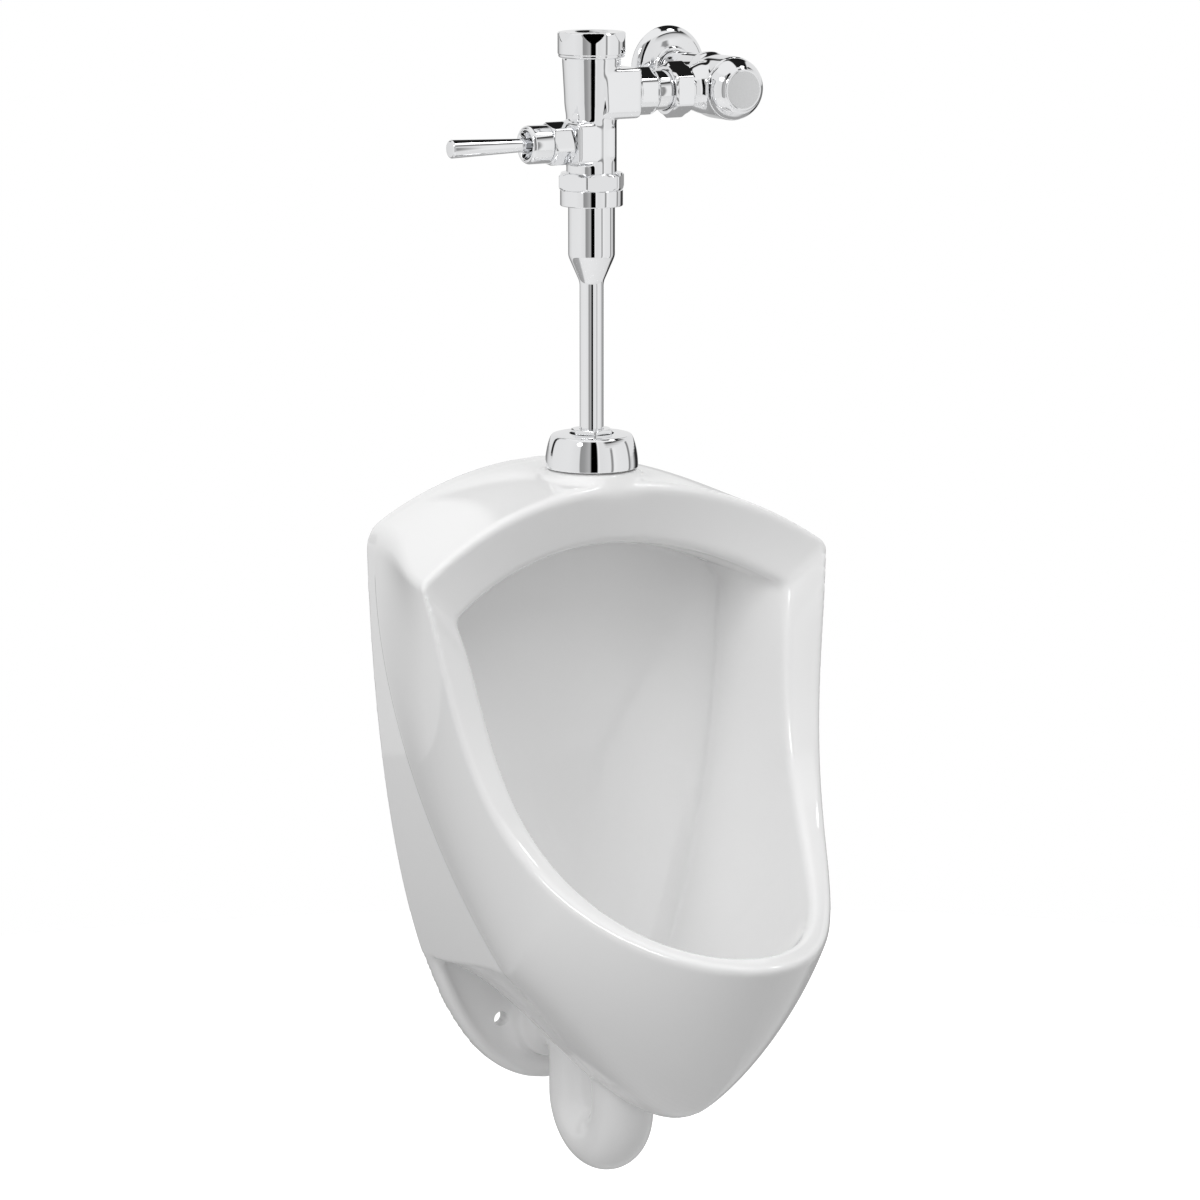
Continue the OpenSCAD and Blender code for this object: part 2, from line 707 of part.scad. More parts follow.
// Wide tube, cone and flush tube in one length, with a flange in the nut
breaker_t = 1.2;
breaker_flange_r = lower_r - 0.2;
breaker_flange_z = collar_z + 5;
breaker_rim_z = breaker_flange_z + 1.6;
module vacuum_breaker_tube() {
    bt = breaker_t;
    color("silver") upright(0) turned([
        [tube_r - tube_t, seat_z - china_t - 3],
        [tube_r, seat_z - china_t - 3],
        [tube_r, cone_z - 3],
        [tube_r + 0.6, cone_z],
        [breaker_r - 1, breaker_z - 3],
        [breaker_r, breaker_z],
        [breaker_r, breaker_flange_z],
        [breaker_flange_r, breaker_flange_z],
        [breaker_flange_r, breaker_rim_z],
        [breaker_r - bt, breaker_rim_z],
        [breaker_r - bt, breaker_z],
        [breaker_r - 1 - bt, breaker_z - 2],
        [tube_r + 0.6 - tube_t, cone_z + 1],
        [tube_r - tube_t, cone_z - 3]
    ]);
}
cage_r = 15;
cage_bore_r = 12.5;
cage_h = 32;
cage_rim_t = 1.6;
port_w = 6;
port_h = 16;
module breaker_body() {
    color("gainsboro") upright(breaker_rim_z) difference() {
        union() {
            cylinder(r = lower_r - 0.4, h = cage_rim_t);
            translate([0, 0, -cage_h]) cylinder(r = cage_r, h = cage_h);
        }
        translate([0, 0, 2 - cage_h]) cylinder(r = cage_bore_r, h = cage_h + 8);
        for (a = [0:60:300]) rotate(a) translate([0, -port_w / 2, 6 - cage_h]) cube([20, port_w, port_h]);
    }
}
sleeve_drop = 34;
sleeve_h = 28;
module breaker_sleeve() {
    color("black") upright(breaker_rim_z - sleeve_drop) difference() {
        cylinder(r = 16.6, h = sleeve_h);
        translate([0, 0, 2]) cylinder(r = cage_r + 0.05, h = sleeve_h);
        translate([0, 0, -1]) cylinder(r = 9, h = 5);
    }
}
breaker_washer_t = 0.9;
module breaker_washer() {
    color("gainsboro") upright(breaker_rim_z + cage_rim_t)
        tube(breaker_flange_r, cage_bore_r + 0.5, breaker_washer_t);
}
body_end_z = breaker_rim_z + cage_rim_t + breaker_washer_t;
module breaker_nut() {
    color("silver") upright(0) difference() {
        union() {
            translate([0, 0, nut_z]) rotate(-8) nut(breaker_nut_af, breaker_nut_h, 2);
            translate([0, 0, collar_z]) turned([
                [0, 0], [collar_r - 1, 0], [collar_r, 1], [collar_r, collar_h + 1], [0, collar_h + 1]
            ]);
        }
        translate([0, 0, collar_z - 1]) cylinder(r = breaker_r + slip_gap, h = 10);
        translate([0, 0, breaker_flange_z]) cylinder(r = lower_r + run_gap, h = 60);
    }
}

// Valve body: barrel, lower body, inlet arm and handle boss
boss_r = 14;
boss_x = 28;
thread_top_r = barrel_top_r - 0.5;
thread_h = 10;
bushing_seat_r = 10;
bushing_seat_l = 4;
tail_slide = 12;
seat_ring_z = shoulder_z + 1;
seat_ring_h = 4;
module soft_square(x0, x1, y0, y1, r) {
    translate([x0 + r, y0]) square([x1 - x0 - 2 * r, y1 - y0]);
    translate([x0, y0 + r]) square([x1 - x0, y1 - y0 - 2 * r]);
    for (x = [x0 + r, x1 - r], y = [y0 + r, y1 - r]) translate([x, y]) circle(r = r, $fn = 32);
}

// Flat-fronted blocks of the casting, towards the supply and towards the handle
arm_block_half = 20;
boss_block_half = 16.5;
block_round = 5;
module valve_body() {
    color("silver") difference() {
        union() {
            facing_right(0, inlet_z) linear_extrude(arm_x - 1)
                soft_square(-arm_block_half, arm_block_half, -barrel_r + 0.4, barrel_r - 2.6, block_round);
            facing_left(0, handle_z) linear_extrude(boss_x - 5.5)
                soft_square(-boss_block_half, boss_block_half, -lower_r + 0.4, lower_r - 5, block_round);
            upright(0) turned([
                [0, body_end_z], [lower_r, body_end_z], [lower_r, shoulder_z],
                [barrel_r - 0.6, barrel_z - 2], [barrel_r, barrel_z],
                [barrel_top_r, cap_z - 1.5], [thread_top_r, cap_z],
                [thread_top_r, cap_z + thread_h], [0, cap_z + thread_h]
            ]);
            facing_right(0, inlet_z) turned([
                [0, 0], [ring_r + 1, 0], [ring_r + 1, barrel_r],
                [ring_r, arm_x - 3], [ring_r, arm_x], [0, arm_x]
            ]);
            facing_left(0, handle_z) cylinder(r = boss_r, h = boss_x);
        }
        upright(body_end_z - 1) cylinder(r = outlet_bore_r, h = 100);
        upright(seat_ring_z) cylinder(r = chamber_r, h = 100);
        facing_right(chamber_r - 6, inlet_z) cylinder(r = inlet_bore_r, h = 60);
        facing_right(arm_x - tail_slide, inlet_z) cylinder(r = tail_r + run_gap, h = 20);
        facing_left(outlet_bore_r - 3, handle_z) cylinder(r = 5, h = 20);
        facing_left(boss_x - bushing_seat_l, handle_z) cylinder(r = bushing_seat_r, h = 10);
    }
}
module seat_ring() {
    color("goldenrod") upright(seat_ring_z) turned([
        [12, 0], [chamber_r, 0], [chamber_r, seat_ring_h - 1.5], [15, seat_ring_h - 1.5],
        [14, seat_ring_h], [12.5, seat_ring_h], [12, seat_ring_h - 0.5]
    ]);
}

// Piston: a guide through the seat, a seat washer, a waist and a head with a cup
piston_z = seat_ring_z + seat_ring_h;
guide_r = 11.5;
guide_l = 12;
washer_h = 2;
disc_r = 16.5;
waist_r = 12;
cup_seat_r = chamber_r - 4;
piston_head_z = piston_z + 24;
piston_top = piston_head_z + 8;
module piston() {
    color("gainsboro") upright(0) turned([
        [8.5, piston_z - guide_l], [guide_r, piston_z - guide_l], [guide_r, piston_z + washer_h],
        [disc_r, piston_z + washer_h], [disc_r, piston_z + 6], [waist_r, piston_z + 7],
        [waist_r, piston_head_z], [chamber_r - 1.2, piston_head_z], [chamber_r - 1.2, piston_head_z + 2],
        [cup_seat_r, piston_head_z + 2], [cup_seat_r, piston_top],
        [7, piston_top], [7, piston_top - 8], [8.5, piston_top - 12]
    ]);
}
module piston_seat_washer() {
    color("black") upright(piston_z) tube(disc_r - 0.5, guide_r, washer_h);
}
module piston_cup() {
    color("black") upright(piston_head_z + 2) turned([
        [cup_seat_r, 0], [chamber_r - 0.4, 0], [chamber_r - 0.1, 4], [chamber_r - 1.2, 4],
        [chamber_r - 2, 2], [cup_seat_r, 2]
    ]);
}
relief_head_r = 9.5;
stem_foot_z = handle_z - 8;
module relief_valve() {
    color("goldenrod") upright(0) turned([
        [0, stem_foot_z], [stem_sleeve_r - 0.5, stem_foot_z], [stem_sleeve_r, stem_foot_z + 0.5],
        [stem_sleeve_r, handle_z + 6], [stem_r, handle_z + 8],
        [stem_r, piston_top - 2], [4, piston_top], [relief_head_r, piston_top],
        [relief_head_r, piston_top + 3], [relief_head_r - 2, piston_top + 4.5], [0, piston_top + 4.5]
    ]);
}

// Covers at the top of the valve
cover_z = cap_z + thread_h;
cover_plug_h = 4;
module inner_cover() {
    color("gainsboro") upright(cover_z) union() {
        cylinder(r = thread_top_r, h = 3);
        translate([0, 0, -cover_plug_h]) difference() {
            cylinder(r = chamber_r - 0.05, h = cover_plug_h + eps);
            translate([0, 0, 0.6]) tube(chamber_r + 1, chamber_r - 1.7, 2);
        }
    }
}
module cover_seal() {
    color("black") upright(cover_z - 2.4) rotate_extrude()
        translate([chamber_r - 0.85, 0]) circle(r = 0.8, $fn = 24);
}
module top_cap() {
    bore_r = thread_top_r + run_gap;
    flat = cap_r * 2 - 1.2;
    color("silver") upright(cap_z) difference() {
        union() {
            turned([
                [0, 0], [cap_r - 1.2, 0], [cap_r - 0.6, 0.6], [cap_r - 0.6, 6], [0, 6]
            ]);
            intersection() {
                turned([
                    [0, 5], [cap_r - 0.6, 5], [cap_r, 5.6], [cap_r, cap_h - 3.2], [cap_r - 3, cap_h - 0.6],
                    [15, cap_h], [13.5, cap_h - 1.2], [0, cap_h - 1.2]
                ]);
                hexagon(flat, cap_h);
            }
        }
        translate([0, 0, -1]) cylinder(r = bore_r, h = thread_h + cover_plug_h + eps);
    }
}

// Handle: the lever rocks in its socket and pushes the plunger
bushing_x0 = boss_x - bushing_seat_l;
bushing_x1 = 40;
bushing_r = bushing_seat_r - 0.2;
gasket_h = 1.5;
seal_h = 1.7;
plunger_head_x = 46;
rocker_x = plunger_head_x + 2;
module handle_gasket() {
    color("black") facing_left(bushing_x0, handle_z) tube(bushing_r, 5, gasket_h);
}
module handle_bushing() {
    color("goldenrod") facing_left(bushing_x0 + gasket_h, handle_z) difference() {
        union() {
            cylinder(r = bushing_r, h = bushing_x1 - bushing_x0 - 6);
            translate([0, 0, 2.5]) cylinder(r = 13.2, h = 3);
        }
        translate([0, 0, -1]) cylinder(r = plunger_r + run_gap, h = 30);
        translate([0, 0, bushing_x1 - bushing_x0 - 10]) cylinder(r = 7.4, h = 12);
    }
}
module plunger_seal() {
    color("black") facing_left(bushing_x0 - seal_h, handle_z) tube(4.8, plunger_r + run_gap, seal_h);
}
plunger_tip_x = stem_sleeve_r + 0.5;
module plunger() {
    color("goldenrod") facing_left(0, handle_z) union() {
        translate([0, 0, plunger_tip_x]) cylinder(r = plunger_r, h = plunger_head_x - plunger_tip_x);
        translate([0, 0, plunger_head_x - 2]) cylinder(r = 7, h = 2);
    }
}
spring_x0 = bushing_x1 - 8.5;
module plunger_spring() {
    color("gray") facing_left(spring_x0 + slip_gap, handle_z)
        coil(5.6, 0.7, plunger_head_x - 2 - spring_x0 - 2 * slip_gap, 5);
}
module handle_nut() {
    color("silver") facing_left(0, handle_z) difference() {
        translate([0, 0, boss_x - 5]) rotate(14.5) nut(handle_nut_af, 18, 1.6);
        cylinder(r = boss_r + run_gap, h = boss_x + 4);
        translate([0, 0, boss_x]) cylinder(r = 13.4, h = 20);
    }
}
socket_bore_r = 12;
socket_l = socket_x - boss_x - 13;
module handle_socket() {
    color("silver") facing_left(0, handle_z) difference() {
        union() {
            translate([0, 0, socket_x - socket_l]) turned([
                [0, 0], [socket_r, 0], [socket_r, socket_l - 1.5], [socket_r - 1.2, socket_l], [0, socket_l]
            ]);
            translate([0, 0, boss_x + 3]) cylinder(r = boss_r - 0.1, h = 1);
            translate([0, 0, boss_x + 3]) cylinder(r = 13.3, h = 11);
        }
        translate([0, 0, boss_x]) cylinder(r = socket_bore_r - 1.6, h = 16);
        translate([0, 0, boss_x + 14]) cylinder(r = socket_bore_r, h = rocker_x - boss_x - 14);
        translate([0, 0, rocker_x - 1]) cylinder(r1 = 8.4, r2 = 12.2, h = socket_x - rocker_x + 2);
    }
}
module handle_lever() {
    color("silver") facing_left(0, handle_z) turned([
        [0, plunger_head_x], [rocker_r, plunger_head_x], [rocker_r, rocker_x], [6.6, rocker_x],
        [handle_root_r, rocker_x + 3], [handle_root_r, socket_x],
        [handle_tip_r, handle_tip_x - 1], [handle_tip_r - 1, handle_tip_x], [0, handle_tip_x]
    ]);
}

// Supply side: a ring with flats, the sliding tailpiece and its nut
ring_end = arm_x + ring_l;
module inlet_ring() {
    color("silver") facing_right(arm_x, inlet_z) difference() {
        union() {
            cylinder(r = ring_r, h = 1.5);
            intersection() {
                cylinder(r = ring_r, h = ring_l);
                hexagon(ring_r * 1.84, ring_l);
            }
            translate([0, 0, ring_l - 1.5]) cylinder(r = ring_r - 1, h = 1.5);
        }
        translate([0, 0, -1]) cylinder(r = tail_r + run_gap, h = ring_l + 2);
    }
}
tail_end_x = stop_x - 24;
neck_x = coupling_x + 9.5;
thread_r = neck_r + 1.4;
module tailpiece() {
    color("silver") facing_right(arm_x - tail_slide, inlet_z) difference() {
        union() {
            cylinder(r = tail_r, h = tail_end_x - arm_x + tail_slide);
            translate([0, 0, ring_l + tail_slide]) cylinder(r = neck_r, h = coupling_x - ring_end + 4);
        }
        translate([0, 0, -1]) cylinder(r = inlet_bore_r, h = 100);
    }
}
module tailpiece_oring() {
    color("black") facing_right(neck_x - 2.5, inlet_z) tube(thread_r, tail_r, 2.5);
}
module lock_ring() {
    color("gainsboro") facing_right(neck_x - 4.5, inlet_z) tube(thread_r, tail_r + 0.05, 2);
}
module coupling_nut() {
    color("silver") facing_right(coupling_x, inlet_z) difference() {
        nut(coupling_af, coupling_l, 2.2);
        translate([0, 0, -1]) cylinder(r = neck_r + slip_gap, h = 40);
        translate([0, 0, 5]) cylinder(r = thread_r + run_gap, h = 40);
    }
}

// Stop: an angle body with its seat at the rear and its spindle in front
stop_seat_f = 67;
pipe_z = inlet_z + pipe_rise;
pipe_r = 11;
stop_bore_r = 17;
seat_r = 9.5;
screw_r = 4.5;
module stop_body() {
    front = stop_front_f - stop_rear_f;
    color("silver") difference() {
        union() {
            facing_front(stop_x, stop_rear_f, inlet_z) turned([
                [0, 5], [20, 5], [stop_r - 1.5, 10], [stop_r, 18], [stop_r, front - 2],
                [stop_r - 0.6, front], [0, front]
            ]);
            facing_front(stop_x, stop_rear_f, pipe_z) turned([
                [0, 0], [16, 0], [17, 1], [17.5, 12], [0, 12]
            ]);
            facing_right(neck_x, inlet_z) cylinder(r = neck_r, h = stop_x - neck_x);
            facing_right(neck_x, inlet_z) cylinder(r = thread_r, h = 8);
        }
        facing_front(stop_x, stop_rear_f - 1, pipe_z) cylinder(r = pipe_r + run_gap, h = 5);
        translate([stop_x - 8, -stop_seat_f + 1.5, inlet_z]) cube([16, 2.5, pipe_rise]);
        facing_front(stop_x, stop_rear_f + 2, pipe_z) cylinder(r = 8, h = stop_seat_f - stop_rear_f - 3.5);
        facing_front(stop_x, stop_rear_f + 5.5, inlet_z) cylinder(r = seat_r, h = 10);
        facing_front(stop_x, stop_seat_f, inlet_z) cylinder(r = stop_bore_r, h = 60);
        facing_right(neck_x - 1, inlet_z) cylinder(r = inlet_bore_r, h = stop_x - neck_x - 10);
        facing_right(neck_x - 1, inlet_z) cylinder(r = tail_r + run_gap, h = tail_end_x - neck_x + 2);
    }
}
plunger_f = stop_seat_f + stop_travel + 2.1;
module stop_washer() {
    color("black") facing_front(stop_x, plunger_f - 2, inlet_z) cylinder(r = seat_r + 2.5, h = 2);
}
module stop_plunger() {
    color("goldenrod") facing_front(stop_x, plunger_f, inlet_z) difference() {
        union() {
            cylinder(r = 13.5, h = 6);
            translate([0, 0, 5]) cylinder(r = 7.5, h = 8);
        }
        translate([0, 0, 1.5]) cylinder(r = screw_r + run_gap, h = 20);
    }
}
bonnet_f = stop_front_f - 8;
module stop_spring() {
    color("gray") facing_front(stop_x, plunger_f + 6 + slip_gap, inlet_z)
        coil(9.2, 0.8, bonnet_f - plunger_f - 6 - 2 * slip_gap, 4);
}
module stop_screw() {
    color("goldenrod") facing_front(stop_x, 0, inlet_z) difference() {
        union() {
            translate([0, 0, plunger_f + 8]) cylinder(r = screw_r, h = stop_front_f + 3 - plunger_f - 8);
            translate([0, 0, bonnet_f - 2.5]) cylinder(r = 7, h = 2.4);
        }
        translate([-6, -0.8, stop_front_f + 1]) cube([12, 1.6, 4]);
    }
}
module stop_bonnet() {
    color("goldenrod") facing_front(stop_x, bonnet_f, inlet_z) difference() {
        union() {
            cylinder(r = stop_bore_r, h = 8);
            translate([0, 0, 7]) nut(22, 3, 0.6);
        }
        translate([0, 0, -1]) cylinder(r = screw_r + run_gap, h = 20);
    }
}
module stop_cap() {
    h = stop_cap_h;
    color("silver") facing_front(stop_x, stop_front_f, inlet_z) turned([
        [18, 0], [stop_r - 0.8, 0], [stop_r - 1.2, 3], [stop_r - 3, 7], [stop_face_r + 2.4, h - 2.4],
        [stop_face_r + 0.6, h - 1.2], [stop_face_r, h - 0.4], [stop_face_r - 1.4, h], [0, h],
        [0, h - 2], [stop_face_r - 3, h - 2], [18, h - 7]
    ]);
}

// Wall supply: threaded adapter, its cover tube and the flange at the wall
module supply_adapter() {
    color("goldenrod") facing_front(stop_x, 0, pipe_z) difference() {
        cylinder(r = pipe_r, h = stop_rear_f + 4);
        translate([0, 0, -1]) cylinder(r = pipe_r - 2.5, h = 100);
    }
}
module cover_tube() {
    color("silver") facing_front(stop_x, 1, pipe_z)
        tube(cover_r, cover_r - 1, stop_rear_f - 1);
}
module wall_flange() {
    h = flange_h;
    r = flange_r;
    color("silver") facing_front(stop_x, 0, pipe_z) difference() {
        turned([
            [cover_r + slip_gap, 0], [r, 0], [r, 1.2], [r - 1.6, 4.4], [r - 5, 7.2], [r - 11, 9],
            [cover_r + 3, h - 2], [cover_r + 2.4, h], [cover_r + slip_gap, h]
        ]);
        translate([0, 0, -1]) cylinder(r1 = r - 3, r2 = cover_r + slip_gap, h = h - 4);
        translate([0, 0, h - 2.2]) rotate([0, 90, 0]) cylinder(r = 0.9, h = r + 6, $fn = 24);
    }
}
module flange_screw() {
    color("gray") facing_front(stop_x, flange_h - 2.2, pipe_z) rotate([0, 90, 0])
        translate([0, 0, cover_r]) cylinder(r = 0.85, h = 3, $fn = 24);
}

china_body();
wall_hangers();
waste_gasket();
inlet_spud();
spud_gasket();
spud_washer();
spud_locknut();
spud_coupling_nut();
tube_gasket();
friction_ring();
spud_escutcheon();
vacuum_breaker_tube();
breaker_body();
breaker_sleeve();
breaker_washer();
breaker_nut();
valve_body();
seat_ring();
piston();
piston_cup();
piston_seat_washer();
relief_valve();
inner_cover();
cover_seal();
top_cap();
handle_gasket();
handle_bushing();
plunger_seal();
plunger();
plunger_spring();
handle_socket();
handle_nut();
handle_lever();
inlet_ring();
tailpiece();
tailpiece_oring();
lock_ring();
coupling_nut();
stop_body();
stop_washer();
stop_plunger();
stop_spring();
stop_screw();
stop_bonnet();
stop_cap();
supply_adapter();
cover_tube();
wall_flange();
flange_screw();
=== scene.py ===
import bpy
import bmesh
import json
import math
import numpy as np
from mathutils.bvhtree import BVHTree
from mathutils import Matrix, Vector


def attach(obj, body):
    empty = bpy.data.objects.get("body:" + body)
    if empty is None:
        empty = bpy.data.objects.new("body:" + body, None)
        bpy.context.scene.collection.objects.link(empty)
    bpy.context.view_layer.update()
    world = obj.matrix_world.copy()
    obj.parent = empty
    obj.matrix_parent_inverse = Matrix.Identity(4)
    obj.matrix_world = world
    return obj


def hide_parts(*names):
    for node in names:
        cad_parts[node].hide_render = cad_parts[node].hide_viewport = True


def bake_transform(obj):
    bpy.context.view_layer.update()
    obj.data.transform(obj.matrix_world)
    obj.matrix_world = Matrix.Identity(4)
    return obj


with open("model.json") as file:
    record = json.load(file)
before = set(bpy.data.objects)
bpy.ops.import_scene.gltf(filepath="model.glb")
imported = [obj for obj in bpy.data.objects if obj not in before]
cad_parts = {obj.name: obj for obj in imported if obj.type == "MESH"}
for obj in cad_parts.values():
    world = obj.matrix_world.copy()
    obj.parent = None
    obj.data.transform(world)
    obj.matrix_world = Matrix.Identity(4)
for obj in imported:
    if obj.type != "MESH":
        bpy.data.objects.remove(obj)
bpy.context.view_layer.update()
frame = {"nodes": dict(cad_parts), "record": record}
nodes = frame["nodes"]
MM = 0.001

# The source's driving values, in millimetres. Names with _f are distances from the wall.
china_w, back_w, china_depth, seat_z = 373, 320, 373, 470
plate_drop, back_arch_r, front_arch_r, back_fall, front_fall = 56, 289, 315, 3.5, 9
shoulder_f, lip_z, rim_w, lip_w, brow_h, brow_f, bowl_back_f = 146, 123, 35, 22, 51, 112, 50
china_t, hollow_f = 12, 30
trap_bore_r, trap_t, bend_r, bend_f, bend_drop = 18, 7.5, 35, 100, 50
outlet_r, gasket_r, gasket_t, bolt_span, bolt_r = 25.5, 33, 8, 90, 6
plate_t, edge_f, edge_w = 12, 18, 10
spud_f, spud_hole_r, tube_r, tube_t, spud_t = 85, 17.5, 9.525, 1.2, 3.2
esc_r, esc_top_r, esc_h, esc_t, spud_nut_af = 37.25, 33.5, 26, 1.2, 30
flush_h, cone_h, breaker_r, breaker_h, breaker_t = 149.5, 20, 18.6, 39.5, 1.2
collar_h, collar_r, breaker_nut_h, breaker_nut_af = 13, 24.95, 13.5, 48.5
lower_r, lower_h, shoulder_h, barrel_r, barrel_top_r, barrel_h = 20, 42.5, 11, 21.6, 23.3, 37
chamber_r, outlet_bore_r, cap_r, cap_h = 19.6, 15, 26.75, 20
handle_up, inlet_up, arm_x, arm_seat, inlet_bore_r = 24, 8.5, 34, 12, 11.5
handle_nut_af, socket_r, socket_x, tip_x, tip_r, root_r = 30.5, 15.25, 60, 126.8, 7.3, 5.2
ring_r, ring_l, tail_r, coupling_x, coupling_l, coupling_af = 19, 20, 13.9, 66.5, 18.5, 39.6
neck_r, stop_x, stop_r, stop_front_f, stop_rear_f = 15.75, 120, 25.5, 105, 59
stop_face_r, stop_cap_h, pipe_rise, cover_r, flange_r, flange_h = 16.5, 14, 10, 14.3, 34, 12
run_gap, slip_gap = 0.06, 0.3

cone_z = seat_z + flush_h
breaker_z = cone_z + cone_h
collar_z = breaker_z + breaker_h
nut_z = collar_z + collar_h
body_z = nut_z + breaker_nut_h
handle_z = body_z + handle_up
shoulder_z = body_z + lower_h
barrel_z = shoulder_z + shoulder_h
inlet_z = barrel_z + inlet_up
cap_z = barrel_z + barrel_h
pipe_z = inlet_z + pipe_rise


# Small curve helpers
def at(x, f, z):
    return np.array([x, -f, z], float)


def mix(a, b, t):
    return a + (b - a) * t


def unit(v):
    return v / np.linalg.norm(v)


def units(v):
    return v / np.linalg.norm(v, axis=1, keepdims=True)


def bezier(p, t):
    p = [np.asarray(q, float) for q in p]
    while len(p) > 1:
        p = [mix(p[i], p[i + 1], t) for i in range(len(p) - 1)]
    return p[0]


def find_t(p, z):
    """Where a falling curve passes the height z."""
    lo, hi = 0.0, 1.0
    for _ in range(30):
        m = (lo + hi) / 2
        if bezier(p, m)[2] > z:
            lo = m
        else:
            hi = m
    return (lo + hi) / 2


def arch_z(x, top, r):
    return top - r + math.sqrt(r * r - x * x)


def on_circle(u, v, r, degrees):
    a = math.radians(degrees)
    return u + r * math.cos(a), v + r * math.sin(a)


# Mesh helpers
def new_object(verts, faces):
    me = bpy.data.meshes.new("solid")
    me.from_pydata([tuple(map(float, v)) for v in verts], [], faces)
    me.update()
    ob = bpy.data.objects.new("solid", me)
    bpy.context.scene.collection.objects.link(ob)
    return ob


def drop(*obs):
    for ob in obs:
        me = ob.data
        bpy.data.objects.remove(ob)
        if me.users == 0:
            bpy.data.meshes.remove(me)


def edited(ob, *steps):
    """Runs each step on the object's mesh."""
    bm = bmesh.new()
    bm.from_mesh(ob.data)
    for step in steps:
        step(bm)
    bm.to_mesh(ob.data)
    bm.free()
    return ob


def face_out(bm):
    bmesh.ops.recalc_face_normals(bm, faces=bm.faces)


def split_large(bm):
    bmesh.ops.triangulate(bm, faces=[f for f in bm.faces if len(f.verts) > 4])


def baked(ob):
    """Applies the object's modifiers to its mesh."""
    dg = bpy.context.evaluated_depsgraph_get()
    me = bpy.data.meshes.new_from_object(ob.evaluated_get(dg))
    ob.modifiers.clear()
    old = ob.data
    ob.data = me
    bpy.data.meshes.remove(old)
    return ob


def joined(obs):
    bm = bmesh.new()
    for ob in obs:
        bm.from_mesh(ob.data)
    me = bpy.data.meshes.new("joined")
    bm.to_mesh(me)
    bm.free()
    drop(*obs)
    ob = bpy.data.objects.new("joined", me)
    bpy.context.scene.collection.objects.link(ob)
    return ob


def remeshed(ob, size):
    m = ob.modifiers.new("remesh", "REMESH")
    m.mode = "VOXEL"
    m.voxel_size = size * MM
    return baked(ob)


def cut(ob, cutters):
    for c in cutters:
        m = ob.modifiers.new("cut", "BOOLEAN")
        m.operation = "DIFFERENCE"
        m.solver = "MANIFOLD"
        m.object = c
    baked(ob)
    drop(*cutters)
    return ob


def points_of(ob):
    co = np.empty(len(ob.data.vertices) * 3)
    ob.data.vertices.foreach_get("co", co)
    return co.reshape(-1, 3)


def set_points(ob, co):
    ob.data.vertices.foreach_set("co", co.ravel())
    ob.data.update()
    return ob


def relaxed(ob, steps, weight=None, factor=0.5):
    """Smooths the mesh evenly, or by a weight from each point's place in millimetres."""
    me = ob.data
    co = points_of(ob)
    n = len(co)
    ends = np.empty(len(me.edges) * 2, dtype=np.int64)
    me.edges.foreach_get("vertices", ends)
    a, b = ends.reshape(-1, 2).T
    count = np.bincount(a, minlength=n) + np.bincount(b, minlength=n)
    w = np.ones(n) if weight is None else weight(co / MM)
    on_wall = np.abs(co[:, 1]) < 1e-3
    wall_y = co[on_wall, 1].copy()
    for _ in range(steps):
        total = np.empty_like(co)
        for k in range(3):
            total[:, k] = np.bincount(a, co[b, k], n) + np.bincount(b, co[a, k], n)
        co = co + (total / np.maximum(count, 1)[:, None] - co) * (factor * w)[:, None]
        co[on_wall, 1] = wall_y
    return set_points(ob, co)


def drawn_to(ob, tree, hold, reach):
    """Moves the points back onto a surface, where hold is 0."""
    co = points_of(ob)
    share = 1 - np.clip(hold(co * 1000), 0, 1)
    for i in np.nonzero(share > 0.02)[0]:
        hit, _, _, gap = tree.find_nearest(Vector(co[i]))
        if gap < reach * MM:
            co[i] += (np.array(hit) - co[i]) * share[i]
    return set_points(ob, co)


def shade(ob, angle):
    """Smooth shading, with a crease where two faces meet at more than the angle in degrees."""
    limit = math.radians(angle)

    def creases(bm):
        for f in bm.faces:
            f.smooth = True
        for e in bm.edges:
            e.smooth = len(e.link_faces) == 2 and e.calc_face_angle(0) < limit

    return edited(ob, face_out, creases)


UP, FRONT, LEFT, RIGHT = "up", "front", "left", "right"


def place(v, way, x, f, z):
    """Turns a piece made along +Z to its way and moves it to (x, F, z), in millimetres."""
    v = np.asarray(v, float)
    a, b, c = v[:, 0], v[:, 1], v[:, 2]
    if way == FRONT:
        v = np.stack([a, -c, b], 1)
    elif way == RIGHT:
        v = np.stack([c, b, -a], 1)
    elif way == LEFT:
        v = np.stack([-c, b, a], 1)
    return (v + np.array([x, -f, z])) * MM


def rounded(pts, r, steps):
    """Rounds a closed profile's corners; points on the axis stay."""
    out = []
    n = len(pts)
    for i in range(n):
        a, c, b = (np.array(pts[(i + k) % n], float) for k in (-1, 0, 1))
        corner_r = r[i] if isinstance(r, (list, tuple)) else r
        la, lb = np.linalg.norm(a - c), np.linalg.norm(b - c)
        corner_r = min(corner_r, la * 0.45, lb * 0.45)
        bend = abs(np.cross(unit(c - a), unit(b - c))) if la and lb else 0
        if c[0] <= 1e-6 or corner_r < 0.02 or bend < 0.03:
            out.append(tuple(c))
            continue
        p, q = c + unit(a - c) * corner_r, c + unit(b - c) * corner_r
        for k in range(steps + 1):
            t = k / steps
            out.append(tuple((1 - t) ** 2 * p + 2 * t * (1 - t) * c + t * t * q))
    return out


